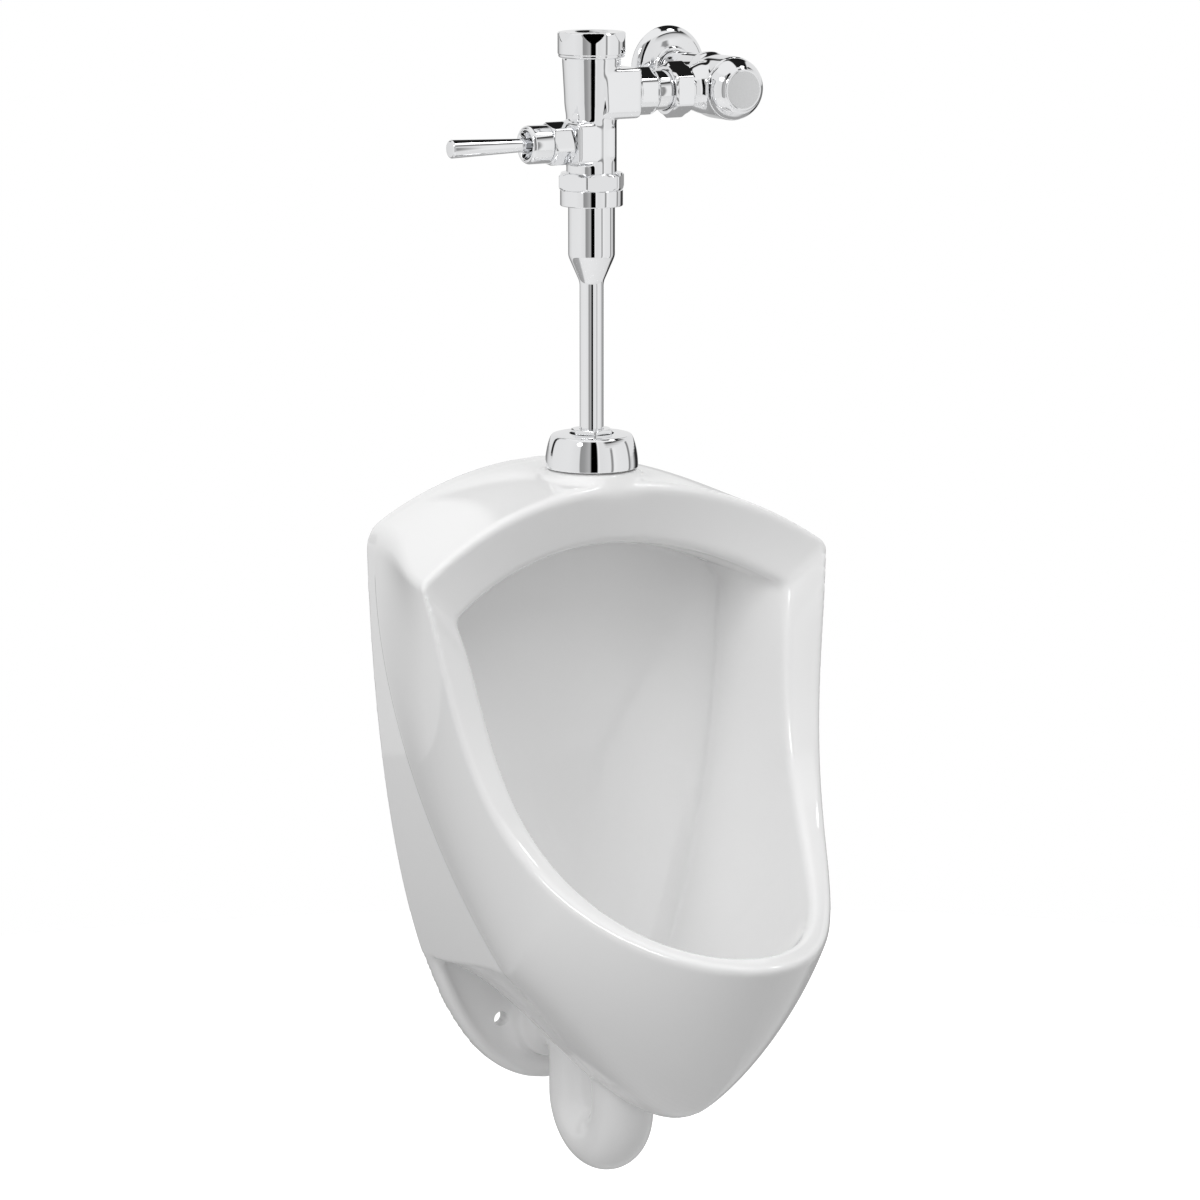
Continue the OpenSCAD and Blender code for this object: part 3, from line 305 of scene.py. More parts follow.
def turned(pts, way, x, f, z, r=0.4, seg=96, six=None, steps=3):
    """Lathe of a closed profile [(radius, height)]. six = (across flats, turn, from, to) cuts flats."""
    prof = rounded(pts, r, steps) if r else [tuple(p) for p in pts]
    th = np.arange(seg) * 2 * math.pi / seg
    cs, sn = np.cos(th), np.sin(th)
    verts, rows = [], []
    if six:
        flats, turn, h0, h1 = six
        d = np.stack([np.cos(th - math.radians(turn + 30 + 60 * k)) for k in range(6)])
        # the high power stands for a maximum, and rounds the corners a little
        flat_r = flats / 2 / np.sum(np.clip(d, 0, 1) ** 60, 0) ** (1 / 60)
    for pr, ph in prof:
        if pr <= 1e-6:
            rows.append([len(verts)] * seg)
            verts.append((0, 0, ph))
            continue
        rad = np.full(seg, float(pr))
        if six and h0 <= ph <= h1 and pr > flats * 0.42:
            # a soft minimum of the round and the hexagon
            soft = 0.25
            rad = -soft * np.log(np.exp(-(rad - flat_r) / soft) + 1) + flat_r
            rad = np.minimum(rad, pr)
        rows.append(list(range(len(verts), len(verts) + seg)))
        verts += [(rad[i] * cs[i], rad[i] * sn[i], ph) for i in range(seg)]
    faces = []
    for k in range(len(rows)):
        ra, rb = rows[k], rows[(k + 1) % len(rows)]
        if ra[0] == ra[1] and rb[0] == rb[1]:
            continue
        for i in range(seg):
            j = (i + 1) % seg
            q = [ra[i], ra[j], rb[j], rb[i]]
            faces.append([v for n, v in enumerate(q) if v != q[n - 1]])
    return edited(new_object(place(verts, way, x, f, z), faces), face_out)


def rod(r, start, end, way, x, f, z, seg=96):
    """A plain round bar between two heights along its way."""
    return turned([(0, start), (r, start), (r, end), (0, end)], way, x, f, z, r=0, seg=seg)


def tube(path, r, seg=64):
    """A round bar along a path of points in the plane x = 0, given as (F, z)."""
    pts = [at(0, f, z) for f, z in path]
    verts, faces = [], []
    for i, p in enumerate(pts):
        d = unit(pts[min(i + 1, len(pts) - 1)] - pts[max(i - 1, 0)])
        side = np.array([1.0, 0, 0])
        up = np.cross(d, side)
        for k in range(seg):
            a = 2 * math.pi * k / seg
            verts.append((p + side * r * math.cos(a) + up * r * math.sin(a)) * MM)
    for i in range(len(pts) - 1):
        for k in range(seg):
            j = (k + 1) % seg
            faces.append([i * seg + k, i * seg + j, (i + 1) * seg + j, (i + 1) * seg + k])
    faces.append(list(range(seg))[::-1])
    faces.append([(len(pts) - 1) * seg + k for k in range(seg)])
    return edited(new_object(verts, faces), face_out)


def extruded(outline, f0, f1):
    """A flat outline of (x, z) points between two distances from the wall."""
    n = len(outline)
    verts = [at(x, f, z) * MM for f in (f0, f1) for x, z in outline]
    faces = [list(range(n)), list(range(2 * n - 1, n - 1, -1))]
    faces += [[i, n + i, n + (i + 1) % n, (i + 1) % n] for i in range(n)]
    return edited(new_object(verts, faces), split_large, face_out)


def block(x0, x1, f0, f1, z0, z1):
    return extruded([(x0, z0), (x1, z0), (x1, z1), (x0, z1)], f0, f1)


def soft_bar(x0, x1, half_z, front, back, zc, top_r=3.0, low_r=8.0, steps=8):
    """A bar along X whose long edges are rounded. front and back are measured from the valve's axis."""
    pts = []
    for sx, sz, a0 in ((1, 1, 0), (-1, 1, 90), (-1, -1, 180), (1, -1, 270)):
        r = top_r if sz > 0 else low_r
        cx = front - r if sx > 0 else back + r
        pts += [on_circle(cx, sz * (half_z - r), r, a0 + 90 * k / steps) for k in range(steps + 1)]
    n = len(pts)
    verts = [at(x, spud_f + f, zc + z) * MM for x in (x0, x1) for f, z in pts]
    faces = [list(range(n))[::-1], list(range(n, 2 * n))]
    faces += [[i, (i + 1) % n, n + (i + 1) % n, n + i] for i in range(n)]
    return edited(new_object(verts, faces), face_out)


def coil(r, wire_r, h, turns, way, x, f, z, sides=12):
    """A spring of one unbroken wire along its way."""
    n = turns * 36
    verts = []
    for i in range(n + 1):
        a = 2 * math.pi * turns * i / n
        for k in range(sides):
            b = 2 * math.pi * k / sides
            rr = r + wire_r * math.cos(b)
            height = wire_r + (h - 2 * wire_r) * i / n + wire_r * math.sin(b)
            verts.append((rr * math.cos(a), rr * math.sin(a), height))
    faces = []
    for i in range(n):
        for k in range(sides):
            j = (k + 1) % sides
            faces.append([i * sides + k, i * sides + j, (i + 1) * sides + j, (i + 1) * sides + k])
    faces += [list(range(sides)), list(range(n * sides, (n + 1) * sides))]
    return new_object(place(verts, way, x, f, z), faces)


# Camera, at the photo's angle
focal_length = 141
forward = Vector((0.490814, 0.850114, -0.190809))
right = Vector((0.866025, -0.5, 0.0))
up = Vector((0.095405, 0.165245, 0.981628))
eye = Vector(at(0, spud_f, seat_z) * MM) + Vector((-1.8499, -3.2175, 0.6122))
cam = bpy.data.objects.new("camera", bpy.data.cameras.new("camera"))
bpy.context.scene.collection.objects.link(cam)
cam.matrix_world = Matrix((
    (right.x, up.x, -forward.x, eye.x),
    (right.y, up.y, -forward.y, eye.y),
    (right.z, up.z, -forward.z, eye.z),
    (0, 0, 0, 1),
))
cam.data.sensor_width = 36
cam.data.lens = focal_length
cam.data.clip_end = 100
bpy.context.scene.camera = cam
bpy.context.scene.view_settings.view_transform = "Standard"


# Shader node helpers
def links(tree, *pairs):
    for a, b in pairs:
        tree.links.new(a, b)


def add_node(tree, kind, **values):
    """A new shader node with its sockets set; an underscore in a name stands for a space."""
    n = tree.nodes.new("ShaderNode" + kind)
    for key, value in values.items():
        n.inputs[key.replace("_", " ")].default_value = value
    return n


def math_node(tree, op, a, b=None, c=None):
    n = add_node(tree, "Math")
    n.operation = op
    for i, v in enumerate((a, b, c)):
        if v is None:
            continue
        if isinstance(v, (int, float)):
            n.inputs[i].default_value = v
        else:
            tree.links.new(v, n.inputs[i])
    return n.outputs[0]


def product(tree, a, b):
    return math_node(tree, "MULTIPLY", a, b)


def dot_node(tree, a, vec):
    n = add_node(tree, "VectorMath")
    n.operation = "DOT_PRODUCT"
    tree.links.new(a, n.inputs[0])
    n.inputs[1].default_value = vec
    return n.outputs["Value"]


def ramp_node(tree, fac, stops):
    n = add_node(tree, "ValToRGB")
    e = n.color_ramp.elements
    while len(e) > 1:
        e.remove(e[0])
    e[0].position = stops[0][0]
    e[0].color = (*[stops[0][1]] * 3, 1)
    for q, v in stops[1:]:
        e.new(q).color = (v, v, v, 1)
    tree.links.new(fac, n.inputs[0])
    return n.outputs["Color"]


def step_node(tree, v, lo, hi):
    """0 at lo, 1 at hi, and smooth between."""
    n = add_node(tree, "MapRange", From_Min=lo, From_Max=hi)
    n.interpolation_type = "SMOOTHSTEP"
    tree.links.new(v, n.inputs["Value"])
    return n.outputs["Result"]


def colour_mix(tree, fac, a, b):
    n = add_node(tree, "Mix")
    n.data_type = "RGBA"
    for v, key in ((a, "A"), (b, "B")):
        if isinstance(v, tuple):
            n.inputs[key].default_value = (*v, 1)
        else:
            tree.links.new(v, n.inputs[key])
    tree.links.new(fac, n.inputs["Factor"])
    return n.outputs["Result"]


# Brightness of the mirrored room by degrees around the object: 0 is the camera's side, 90 its right
room = (
    (-180, 0.6), (-168, 0.5), (-160, 0.15), (-146, 0.45), (-138, 0.68), (-128, 0.76), (-110, 0.84),
    (-60, 0.86), (-31, 0.8), (-29, 0.3), (-18, 0.34), (-6, 0.48), (-3, 0.4), (-1, 0.0),
    (14, 0.0), (17, 0.95), (22, 0.8), (49, 0.84), (51, 0.3), (55, 0.3), (58, 0.92), (70, 0.86),
    (104, 0.84), (106, 0.25), (111, 0.25), (114, 0.65), (124, 0.75), (133, 0.3), (140, 0.03),
    (160, 0.02), (168, 0.6), (180, 0.6),
)
# The back wall above the eye, pale with one dark panel, by the share of a full turn
back_stops = [(0, 0.82), (0.144, 0.82), (0.15, 0.02), (0.172, 0.02), (0.178, 0.82), (1, 0.82)]
# The right side by height, from level to straight up
right_stops = [(0.0, 0.86), (0.36, 0.84), (0.5, 0.55), (0.6, 0.05), (0.66, 0.04), (0.69, 0.98), (1.0, 0.98)]
ceiling = (0.92, 0.92, 0.92)
# Small bright lights, which draw the thin highlights: direction, size in degrees, brightness
glints = (((-0.75, -0.35, 0.56), 8, 14), ((0.5, -0.27, 0.823), 7, 9))


def studio_world():
    """Even light for the object, white for the camera, and a painted room for mirrors."""
    world = bpy.data.worlds.new("studio")
    bpy.context.scene.world = world
    world.use_nodes = True
    tree = world.node_tree
    tree.nodes.clear()
    out = add_node(tree, "OutputWorld")
    soft = add_node(tree, "Background", Strength=0.55, Color=(1, 1, 1, 1))
    white = add_node(tree, "Background", Strength=1.0, Color=(1, 1, 1, 1))
    mirrored = add_node(tree, "Background", Strength=1.0)
    co = add_node(tree, "TexCoord").outputs["Generated"]
    to_right, to_camera = dot_node(tree, co, (0.866, -0.5, 0)), dot_node(tree, co, (-0.5, -0.866, 0))
    around = math_node(tree, "ARCTAN2", to_right, to_camera)
    turn = math_node(tree, "MULTIPLY_ADD", around, 0.5 / math.pi, 0.5)
    parts = add_node(tree, "SeparateXYZ")
    tree.links.new(co, parts.inputs[0])
    x, y, high = parts.outputs
    walls = ramp_node(tree, turn, [((a + 180) / 360, v) for a, v in room])
    behind = product(tree, step_node(tree, math_node(tree, "ABSOLUTE", around), 1.97, 2.02),
                     step_node(tree, high, -0.04, 0.02))
    walls = colour_mix(tree, behind, walls, ramp_node(tree, turn, back_stops))
    right_side = product(tree, step_node(tree, around, 0.6, 0.8), step_node(tree, around, 2.1, 1.9))
    right_high = product(tree, right_side, step_node(tree, high, 0.3, 0.36))
    walls = colour_mix(tree, right_high, walls, ramp_node(tree, high, right_stops))
    walls = colour_mix(tree, step_node(tree, high, 0.72, 0.8), walls, ceiling)
    # a dark panel hangs overhead
    strip = step_node(tree, math_node(tree, "ABSOLUTE", math_node(tree, "SUBTRACT", x, 0.45)), 0.27, 0.22)
    rear_high = product(tree, step_node(tree, high, 0.4, 0.46), step_node(tree, y, -0.42, -0.32))
    gain = math_node(tree, "SUBTRACT", 1.0, product(tree, product(tree, strip, rear_high), 0.985))
    for way, size, bright in glints:
        spot = step_node(tree, dot_node(tree, co, way), math.cos(math.radians(size)),
                         math.cos(math.radians(size - 3)))
        gain = math_node(tree, "ADD", gain, product(tree, spot, bright))
    tone = add_node(tree, "VectorMath")
    tone.operation = "SCALE"
    ray = add_node(tree, "LightPath")
    gloss = math_node(tree, "MAXIMUM", ray.outputs["Is Glossy Ray"], ray.outputs["Is Transmission Ray"])
    lit = add_node(tree, "MixShader")
    shown = add_node(tree, "MixShader")
    links(tree, (walls, tone.inputs[0]), (gain, tone.inputs["Scale"]),
          (tone.outputs[0], mirrored.inputs["Color"]), (gloss, lit.inputs[0]),
          (soft.outputs[0], lit.inputs[1]), (mirrored.outputs[0], lit.inputs[2]),
          (ray.outputs["Is Camera Ray"], shown.inputs[0]), (lit.outputs[0], shown.inputs[1]),
          (white.outputs[0], shown.inputs[2]), (shown.outputs[0], out.inputs[0]))


def lamp(name, size, energy, place_m, aim):
    """A soft lamp that shiny surfaces don't mirror."""
    light = bpy.data.lights.new(name, "AREA")
    light.shape = "RECTANGLE"
    light.size, light.size_y = size
    light.energy = energy
    ob = bpy.data.objects.new(name, light)
    bpy.context.scene.collection.objects.link(ob)
    ob.location = place_m
    ob.rotation_mode = "QUATERNION"
    ob.rotation_quaternion = (Vector(aim) - Vector(place_m)).to_track_quat("-Z", "Y")
    ob.visible_glossy = False


studio_world()
middle = (0, -0.15, 0.35)
lamp("front_left", (0.9, 1.6), 5.5, (-0.9, -1.7, 2.5), middle)
lamp("top_right", (0.9, 1.6), 16, (0.7, -1.3, 2.7), middle)
lamp("left_side", (0.9, 1.6), 21, (-1.9, -0.8, 1.8), middle)
lamp("above", (0.8, 0.8), 3.5, (0.9, 0.3, 2.4), (0.05, -0.1, 0.5))

floor_r, floor_y, floor_z, floor_n = 2.4, -0.2, -0.5, 96
floor_angles = np.arange(floor_n) * math.pi / (floor_n // 2)
floor_ring = [(floor_r * math.cos(a), floor_r * math.sin(a) + floor_y, floor_z) for a in floor_angles]
floor = new_object(floor_ring, [list(range(floor_n))])
floor.name = "floor"


# Materials
def material(name, color, metallic=0.0, rough=0.3, spread=0.05, scale=30.0, tint=0.03, bump=0.0,
             bump_scale=200.0):
    """Roughness and colour vary with one noise, and a finer one raises the surface."""
    m = bpy.data.materials.new(name)
    m.use_nodes = True
    tree = m.node_tree
    p = tree.nodes["Principled BSDF"]
    p.inputs["Metallic"].default_value = metallic
    p.inputs["IOR"].default_value = 1.5
    co = add_node(tree, "TexCoord").outputs["Object"]
    noise = add_node(tree, "TexNoise", Scale=scale, Detail=4)
    rough_range = add_node(tree, "MapRange", To_Min=max(0.0, rough - spread), To_Max=rough + spread)
    dark = tuple(c * (1 - tint) for c in color)
    light = tuple(min(1, c * (1 + tint)) for c in color)
    links(tree, (co, noise.inputs["Vector"]), (noise.outputs["Fac"], rough_range.inputs["Value"]),
          (rough_range.outputs["Result"], p.inputs["Roughness"]),
          (colour_mix(tree, noise.outputs["Fac"], dark, light), p.inputs["Base Color"]))
    if bump:
        fine_noise = add_node(tree, "TexNoise", Scale=bump_scale, Detail=3)
        raised = add_node(tree, "Bump", Strength=bump, Distance=0.001)
        links(tree, (co, fine_noise.inputs["Vector"]), (fine_noise.outputs["Fac"], raised.inputs["Height"]),
              (raised.outputs["Normal"], p.inputs["Normal"]))
    return m


def add_glow(mat, front_edge, rear_edge):
    """The floor is white to the camera, and pale in mirrors in front of the object."""
    tree = mat.node_tree
    shader = tree.nodes["Principled BSDF"].outputs[0]
    ray = add_node(tree, "LightPath")
    parts = add_node(tree, "SeparateXYZ")
    tree.links.new(add_node(tree, "TexCoord").outputs["Object"], parts.inputs[0])
    in_front = step_node(tree, parts.outputs["Y"], rear_edge, front_edge)
    in_mirrors = product(tree, in_front, 0.42)
    for kind, strength in (("Camera", 0.85), ("Glossy", in_mirrors), ("Transmission", 0.4)):
        glow = add_node(tree, "Emission")
        if isinstance(strength, float):
            glow.inputs["Strength"].default_value = strength
        else:
            tree.links.new(strength, glow.inputs["Strength"])
        add = add_node(tree, "AddShader")
        mixer = add_node(tree, "MixShader")
        links(tree, (shader, add.inputs[0]), (glow.outputs[0], add.inputs[1]),
              (ray.outputs["Is " + kind + " Ray"], mixer.inputs[0]), (shader, mixer.inputs[1]),
              (add.outputs[0], mixer.inputs[2]))
        shader = mixer.outputs[0]
    links(tree, (shader, tree.nodes["Material Output"].inputs[0]))


look = {
    "china": material("china_glaze", (0.866, 0.866, 0.866), rough=0.05, spread=0.012, scale=12, tint=0.008,
                      bump=0.03, bump_scale=25),
    "chrome": material("polished_chrome", (0.88, 0.885, 0.895), metallic=1, rough=0.02, spread=0.01, scale=60,
                       tint=0.01),
    "brass": material("turned_brass", (0.72, 0.52, 0.24), metallic=1, rough=0.28, spread=0.08, scale=90,
                      tint=0.08, bump=0.1, bump_scale=900),
    "rubber": material("black_rubber", (0.022, 0.022, 0.023), rough=0.62, spread=0.1, scale=120, tint=0.15,
                       bump=0.15, bump_scale=1500),
    "plastic": material("natural_plastic", (0.66, 0.66, 0.62), rough=0.42, spread=0.06, scale=80, tint=0.03,
                        bump=0.05, bump_scale=900),
    "steel": material("zinc_steel", (0.6, 0.61, 0.63), metallic=1, rough=0.32, spread=0.1, scale=140,
                      tint=0.06, bump=0.08, bump_scale=700),
}
satin = material("satin_chrome", (0.74, 0.745, 0.75), metallic=1, rough=0.3, spread=0.05, scale=70, tint=0.03,
                 bump=0.01, bump_scale=1800)
floor_mat = material("floor_pale", (0.48, 0.48, 0.48), rough=0.9, spread=0.02, scale=2, tint=0.004)
add_glow(floor_mat, 0.1, 0.5)
floor.data.materials.append(floor_mat)

slot_of = {s["node"]: s["material_slot"] for s in frame["record"]["subparts"]}
for name, ob in nodes.items():
    ob.data.materials.clear()
    ob.data.materials.append(look[slot_of[name]])
    for poly in ob.data.polygons:
        poly.material_index = 0


def piece(ob, node, body="urinal", angle=38, across=None):
    """Shades a finished piece and lets it stand for its node. Given across = (body, body, start, end), it
    bakes the piece's place into its mesh and attaches it to no body.
    """
    shade(ob, angle)
    ob.name = node + "_visual"
    ob.data.materials.clear()
    ob.data.materials.append(look[slot_of[node]])
    if across:
        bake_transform(ob)
    else:
        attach(ob, body)
    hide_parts(node)
    return ob


# China: the source's surface with many more steps
fine = 2
arch_n, corner_n, side_n, bottom_n = 14 * fine, 6 * fine, 24 * fine, 14 * fine
under_n, shell_n, round_n, cave_n, back_n = 6, 14 * fine, 5 * fine, 14 * fine, 8


def half_ring(top, r, mid_f, side, low, corner_r, corner):
    """Half of one ring round the china, from the middle of its arch to the middle of its underside."""
    end_x = corner[0] - 0.9 * corner_r

    def arch(x):
        return at(x, mix(mid_f, -corner[1], (x / corner[0]) ** 2), arch_z(x, top, r))

    pts = [arch(end_x * i / arch_n) for i in range(arch_n + 1)]
    pts += [bezier([arch(end_x), corner, side(0)], i / corner_n) for i in range(1, corner_n)]
    pts += [side(i / side_n) for i in range(side_n + 1)]
    pts += [low(i / bottom_n) for i in range(1, bottom_n + 1)]
    return np.array(pts)


stations = np.array([i / arch_n for i in range(arch_n + 1)] + [1.0] * (corner_n - 1)
                    + [1 + i / side_n for i in range(side_n + 1)]
                    + [2 + i / bottom_n for i in range(1, bottom_n + 1)])


def along(keys):
    """Four values, at the arch's middle, the corner, the side's end and the bottom, spread along a ring."""
    keys = np.array(keys, float)
    if keys.ndim == 1:
        return np.interp(stations, range(4), keys)[:, None]
    return np.stack([np.interp(stations, range(4), keys[:, k]) for k in range(keys.shape[1])], 1)


def start_t(p, r):
    return r / (len(p) - 1) / np.linalg.norm(p[1] - p[0])


back_corner_r, rim_corner_r, mouth_corner_r, bowl_corner_r = 14, 6, 7, 20
rim_t = 0.6

# the outline on the wall
back_top = seat_z - back_fall
back_corner = at(back_w / 2, 0, arch_z(back_w / 2, back_top, back_arch_r))
wall_side = [back_corner, at(back_w / 2 - 2, 0, back_corner[2] - 94), at(back_w / 2 - 14, 0, -plate_drop),
             at(0, 0, -plate_drop)]
wall_t0 = start_t(wall_side, back_corner_r)
shelf_z = 62
shelf_t = find_t(wall_side, shelf_z)
wall_half = half_ring(back_top, back_arch_r, 0, lambda t: bezier(wall_side, mix(wall_t0, shelf_t, t)),
                      lambda t: mix(bezier(wall_side, shelf_t), at(0, 0, shelf_z), t), back_corner_r,
                      back_corner)

# the crease that runs down the side and under the belly
belly_z, belly_f, crease_f0, crease_power = 82, 150, 14, 1.85
crease_top = back_corner[2] - 40


def crease(p):
    fall = max(0.0, (crease_top - p[2]) / (crease_top - belly_z))
    return np.array([p[0], -mix(crease_f0, belly_f, fall ** crease_power), p[2]])


def paint_crease_shade(mat):
    """Paints a thin grey line of shade along the crease where the mould's seam runs, on the outside only."""
    tree = mat.node_tree
    p = tree.nodes["Principled BSDF"]
    parts = add_node(tree, "SeparateXYZ")
    tree.links.new(add_node(tree, "TexCoord").outputs["Object"], parts.inputs[0])
    x, y, z = parts.outputs
    drop_z = crease_top - belly_z
    fall = math_node(tree, "MULTIPLY_ADD", z, -1000 / drop_z, crease_top / drop_z)
    fall = math_node(tree, "MINIMUM", math_node(tree, "MAXIMUM", fall, 0.0), 1.0)
    line_f = math_node(tree, "MULTIPLY_ADD", math_node(tree, "POWER", fall, crease_power),
                       (belly_f - crease_f0) * MM, crease_f0 * MM)
    # the mask of the painted shade line, a fraction of a millimetre each side of the crease
    shade_line = step_node(tree, math_node(tree, "ABSOLUTE", math_node(tree, "ADD", line_f, y)), 0.0007, 0.0003)
    # a ramp holds values up to 1, so heights are doubled and widths are times 5
    outside = ramp_node(tree, product(tree, z, 2.0), [
        (2 * MM * h, (bezier(wall_side, find_t(wall_side, h))[0] - 8) * 5 * MM) for h in range(60, 450, 30)])
    wide = product(tree, math_node(tree, "ABSOLUTE", x), 5.0)
    shade_line = product(tree, shade_line, math_node(tree, "GREATER_THAN", wide, outside))
    shade_line = product(tree, shade_line, step_node(tree, z, (crease_top + 8) * MM, (crease_top + 2) * MM))
    shade_line = product(tree, shade_line, step_node(tree, z, (belly_z + 1) * MM, (belly_z + 4) * MM))
    base = p.inputs["Base Color"].links[0].from_socket
    # the grey mixed in here is painted shade of the crease, not a colour of the glaze
    crease_shaded = colour_mix(tree, product(tree, shade_line, 0.6), base, (0.3, 0.3, 0.295))
    tree.links.new(crease_shaded, p.inputs["Base Color"])


paint_crease_shade(look["china"])

belly_t = find_t(wall_side, belly_z)
belly_p = crease(bezier(wall_side, belly_t))
belly_curve = [belly_p, at(88, belly_f, 50), at(26, belly_f, -40), at(0, belly_f, -40)]
crease_half = half_ring(back_top + 1, back_arch_r, 24,
                        lambda t: crease(bezier(wall_side, mix(wall_t0, belly_t, t))),
                        lambda t: bezier(belly_curve, t), back_corner_r, back_corner + at(0, crease_f0, 0))


def front_half(top, r, mid_f, side, corner_r):
    """Half of a ring whose side and bottom are one curve."""
    return half_ring(top, r, mid_f, lambda t: bezier(side, mix(start_t(side, corner_r), rim_t, t)),
                     lambda t: bezier(side, mix(rim_t, 1, t)), corner_r, side[0])


# the rim's outer edge
front_top = seat_z - front_fall
front_corner = at(china_w / 2, shoulder_f, arch_z(china_w / 2, front_top, front_arch_r))
rim_side = [front_corner, front_corner + at(-20.5, 33, -102),
            at(china_w / 2 - 30.5, shoulder_f - 12, lip_z + 23),
            at(china_w / 2 - 81.5, china_depth, lip_z), at(0, china_depth, lip_z)]
rim_half = front_half(front_top, front_arch_r, shoulder_f - 16, rim_side, rim_corner_r)

# the rim's inner edge
mouth_r = 285
mouth_top = front_top - brow_h
mouth_w = china_w / 2 - rim_w
mouth_corner = at(mouth_w, shoulder_f - 8, arch_z(mouth_w, mouth_top, mouth_r))
mouth_side = [mouth_corner, mouth_corner + at(-23.5, 37, -91), at(mouth_w - 18.5, shoulder_f + 2, lip_z + 37),
              at(mouth_w - 54.5, china_depth - lip_w, lip_z + 6), at(0, china_depth - lip_w, lip_z + 6)]
mouth_half = front_half(mouth_top, mouth_r, brow_f, mouth_side, mouth_corner_r)

# the bowl's back, down to the sump
bowl_top = mouth_top - 6
bowl_w = mouth_w - 17.5
bowl_corner = at(bowl_w, bowl_back_f + 12, arch_z(bowl_w, bowl_top, mouth_r))
drain_f = bend_f + bend_r
sump_f = drain_f - trap_bore_r - 5
bowl_side = [bowl_corner, at(bowl_w - 2, bowl_back_f + 12, 180), at(50, sump_f, -15), at(0, sump_f, -15)]
bowl_half = front_half(bowl_top, mouth_r, bowl_back_f + 8, bowl_side, bowl_corner_r)

# how the surface leaves one ring and meets the next
under_out = along([at(0, 8, 0), at(0, 5, 0), at(0, 50, 0), at(0, 30, -70)])
under_in = along([at(0, -8, 0), at(0, -5, 0), at(0, -50, 0), at(0, -50, 0)])
shell_out = along([at(0, 35, 2), at(3, 45, 0), at(12, 40, 4), at(0, 103, -12)])
shell_in = along([at(0, -25, 4), at(-4, -45, 2), at(14, -42, -45), at(0, -76, -124)])
cave_out = along([at(0, -18, 0), at(-8, -30, 0), at(-2, -70, -32), at(0, -110, -128)])
cave_in = along([at(0, 18, 0), at(3, 25, 0), at(4, 70, -18), at(0, 50, -56)])
outer_round = along([12, 5, 8, 9])
inner_round = along([10, 8, 7, 8])
shell_end = rim_half + units(shell_in) * outer_round
band_start = rim_half + units(mouth_half - rim_half) * outer_round
band_end = mouth_half + units(rim_half - mouth_half) * inner_round
cave_start = mouth_half + units(cave_out) * inner_round


def swept(a, da, db, b, t):
    return bezier([a, a + da, b + db, b], t)


bowl_mid = at(0, bowl_back_f, 200)
halves = [swept(wall_half, under_out, under_in, crease_half, k / under_n) for k in range(under_n)]
halves += [swept(crease_half, shell_out, shell_in, shell_end, k / shell_n) for k in range(shell_n)]
halves += [bezier([shell_end, rim_half, band_start], k / round_n) for k in range(round_n + 1)]
halves += [mix(band_start, band_end, k / 4) for k in range(1, 4)]
halves += [bezier([band_end, mouth_half, cave_start], k / round_n) for k in range(round_n)]
halves += [swept(cave_start, cave_out, cave_in, bowl_half, k / cave_n) for k in range(cave_n)]
for k in range(back_n):
    s = 1 - k / back_n
    halves.append(np.stack([bowl_half[:, 0] * s, -(bowl_back_f + (-bowl_half[:, 1] - bowl_back_f) * s * s),
                            bowl_mid[2] + (bowl_half[:, 2] - bowl_mid[2]) * s], 1))
rings = [np.concatenate([h, h[-2:0:-1] * np.array([-1, 1, 1])]) for h in halves]
ring_n = len(rings[0])
last = (len(rings) - 1) * ring_n
skin_verts = np.concatenate(rings + [bowl_mid[None]]) * MM
skin_faces = [list(range(ring_n))[::-1]]
for k in range(len(rings) - 1):
    for i in range(ring_n):
        j = (i + 1) % ring_n
        skin_faces.append([k * ring_n + i, k * ring_n + j, (k + 1) * ring_n + j, (k + 1) * ring_n + i])
skin_faces += [[last + i, last + (i + 1) % ring_n, len(skin_verts) - 1] for i in range(ring_n)]
skin = edited(new_object(skin_verts, skin_faces), face_out, split_large)
skin_tree = BVHTree.FromPolygons([v.co.copy() for v in skin.data.vertices],
                                 [list(q.vertices) for q in skin.data.polygons])


def inset_point(t, t_next, t_last, inset):
    """A point inside the wall outline, square to it, as (x, z)."""
    p = bezier(wall_side, t)
    e = unit(bezier(wall_side, t_next) - bezier(wall_side, t_last))
    return p[0] + e[2] * inset, p[2] - e[0] * inset


def side_points(inset, t0, n=24):
    """The lower outline of the plate, from its right end to its left."""
    out = []
    for i in range(n + 1):
        t = mix(t0, 1, i / n)
        out.append(inset_point(t, min(1, t + 0.001), t - 0.001, inset))
    return out + [(-x, z) for x, z in out[-2::-1]]


# trap, plate and pad
trap_r = trap_bore_r + trap_t
rear_f = bend_f - bend_r
bend_path = [on_circle(bend_f, -bend_drop, bend_r, a) for a in np.linspace(0, -180, 41)]
trap_path = [(drain_f, z) for z in np.linspace(-16, -bend_drop, 6)] + bend_path
trap_path += [(rear_f, z) for z in np.linspace(-bend_drop, 40, 12)]
plate_t0 = find_t(wall_side, shelf_z + 2)
plate_out = side_points(0.5, plate_t0)
plate_in = side_points(edge_w, plate_t0)
web_half = 12
china = joined([
    block(-web_half, web_half, rear_f, drain_f - 17, 2 - trap_r / 2 - bend_drop, -2 - trap_r / 2),
    block(-web_half, web_half, rear_f, rear_f + bend_r, -trap_bore_r, 0),
    skin,
    tube(trap_path, trap_r),
    rod(gasket_r + 3, 0, 30, FRONT, 0, 0, 0, seg=64),
    rod(trap_r, 0, rear_f, FRONT, 0, 0, 0, seg=64),
    extruded(plate_out, 0, plate_t),
    rod(esc_r + 1, 0, 10, UP, 0, spud_f, seat_z - 10),
    extruded(plate_out + plate_in[::-1], 0, edge_f),
])
china_voxel = 2.2
china = remeshed(china, china_voxel)


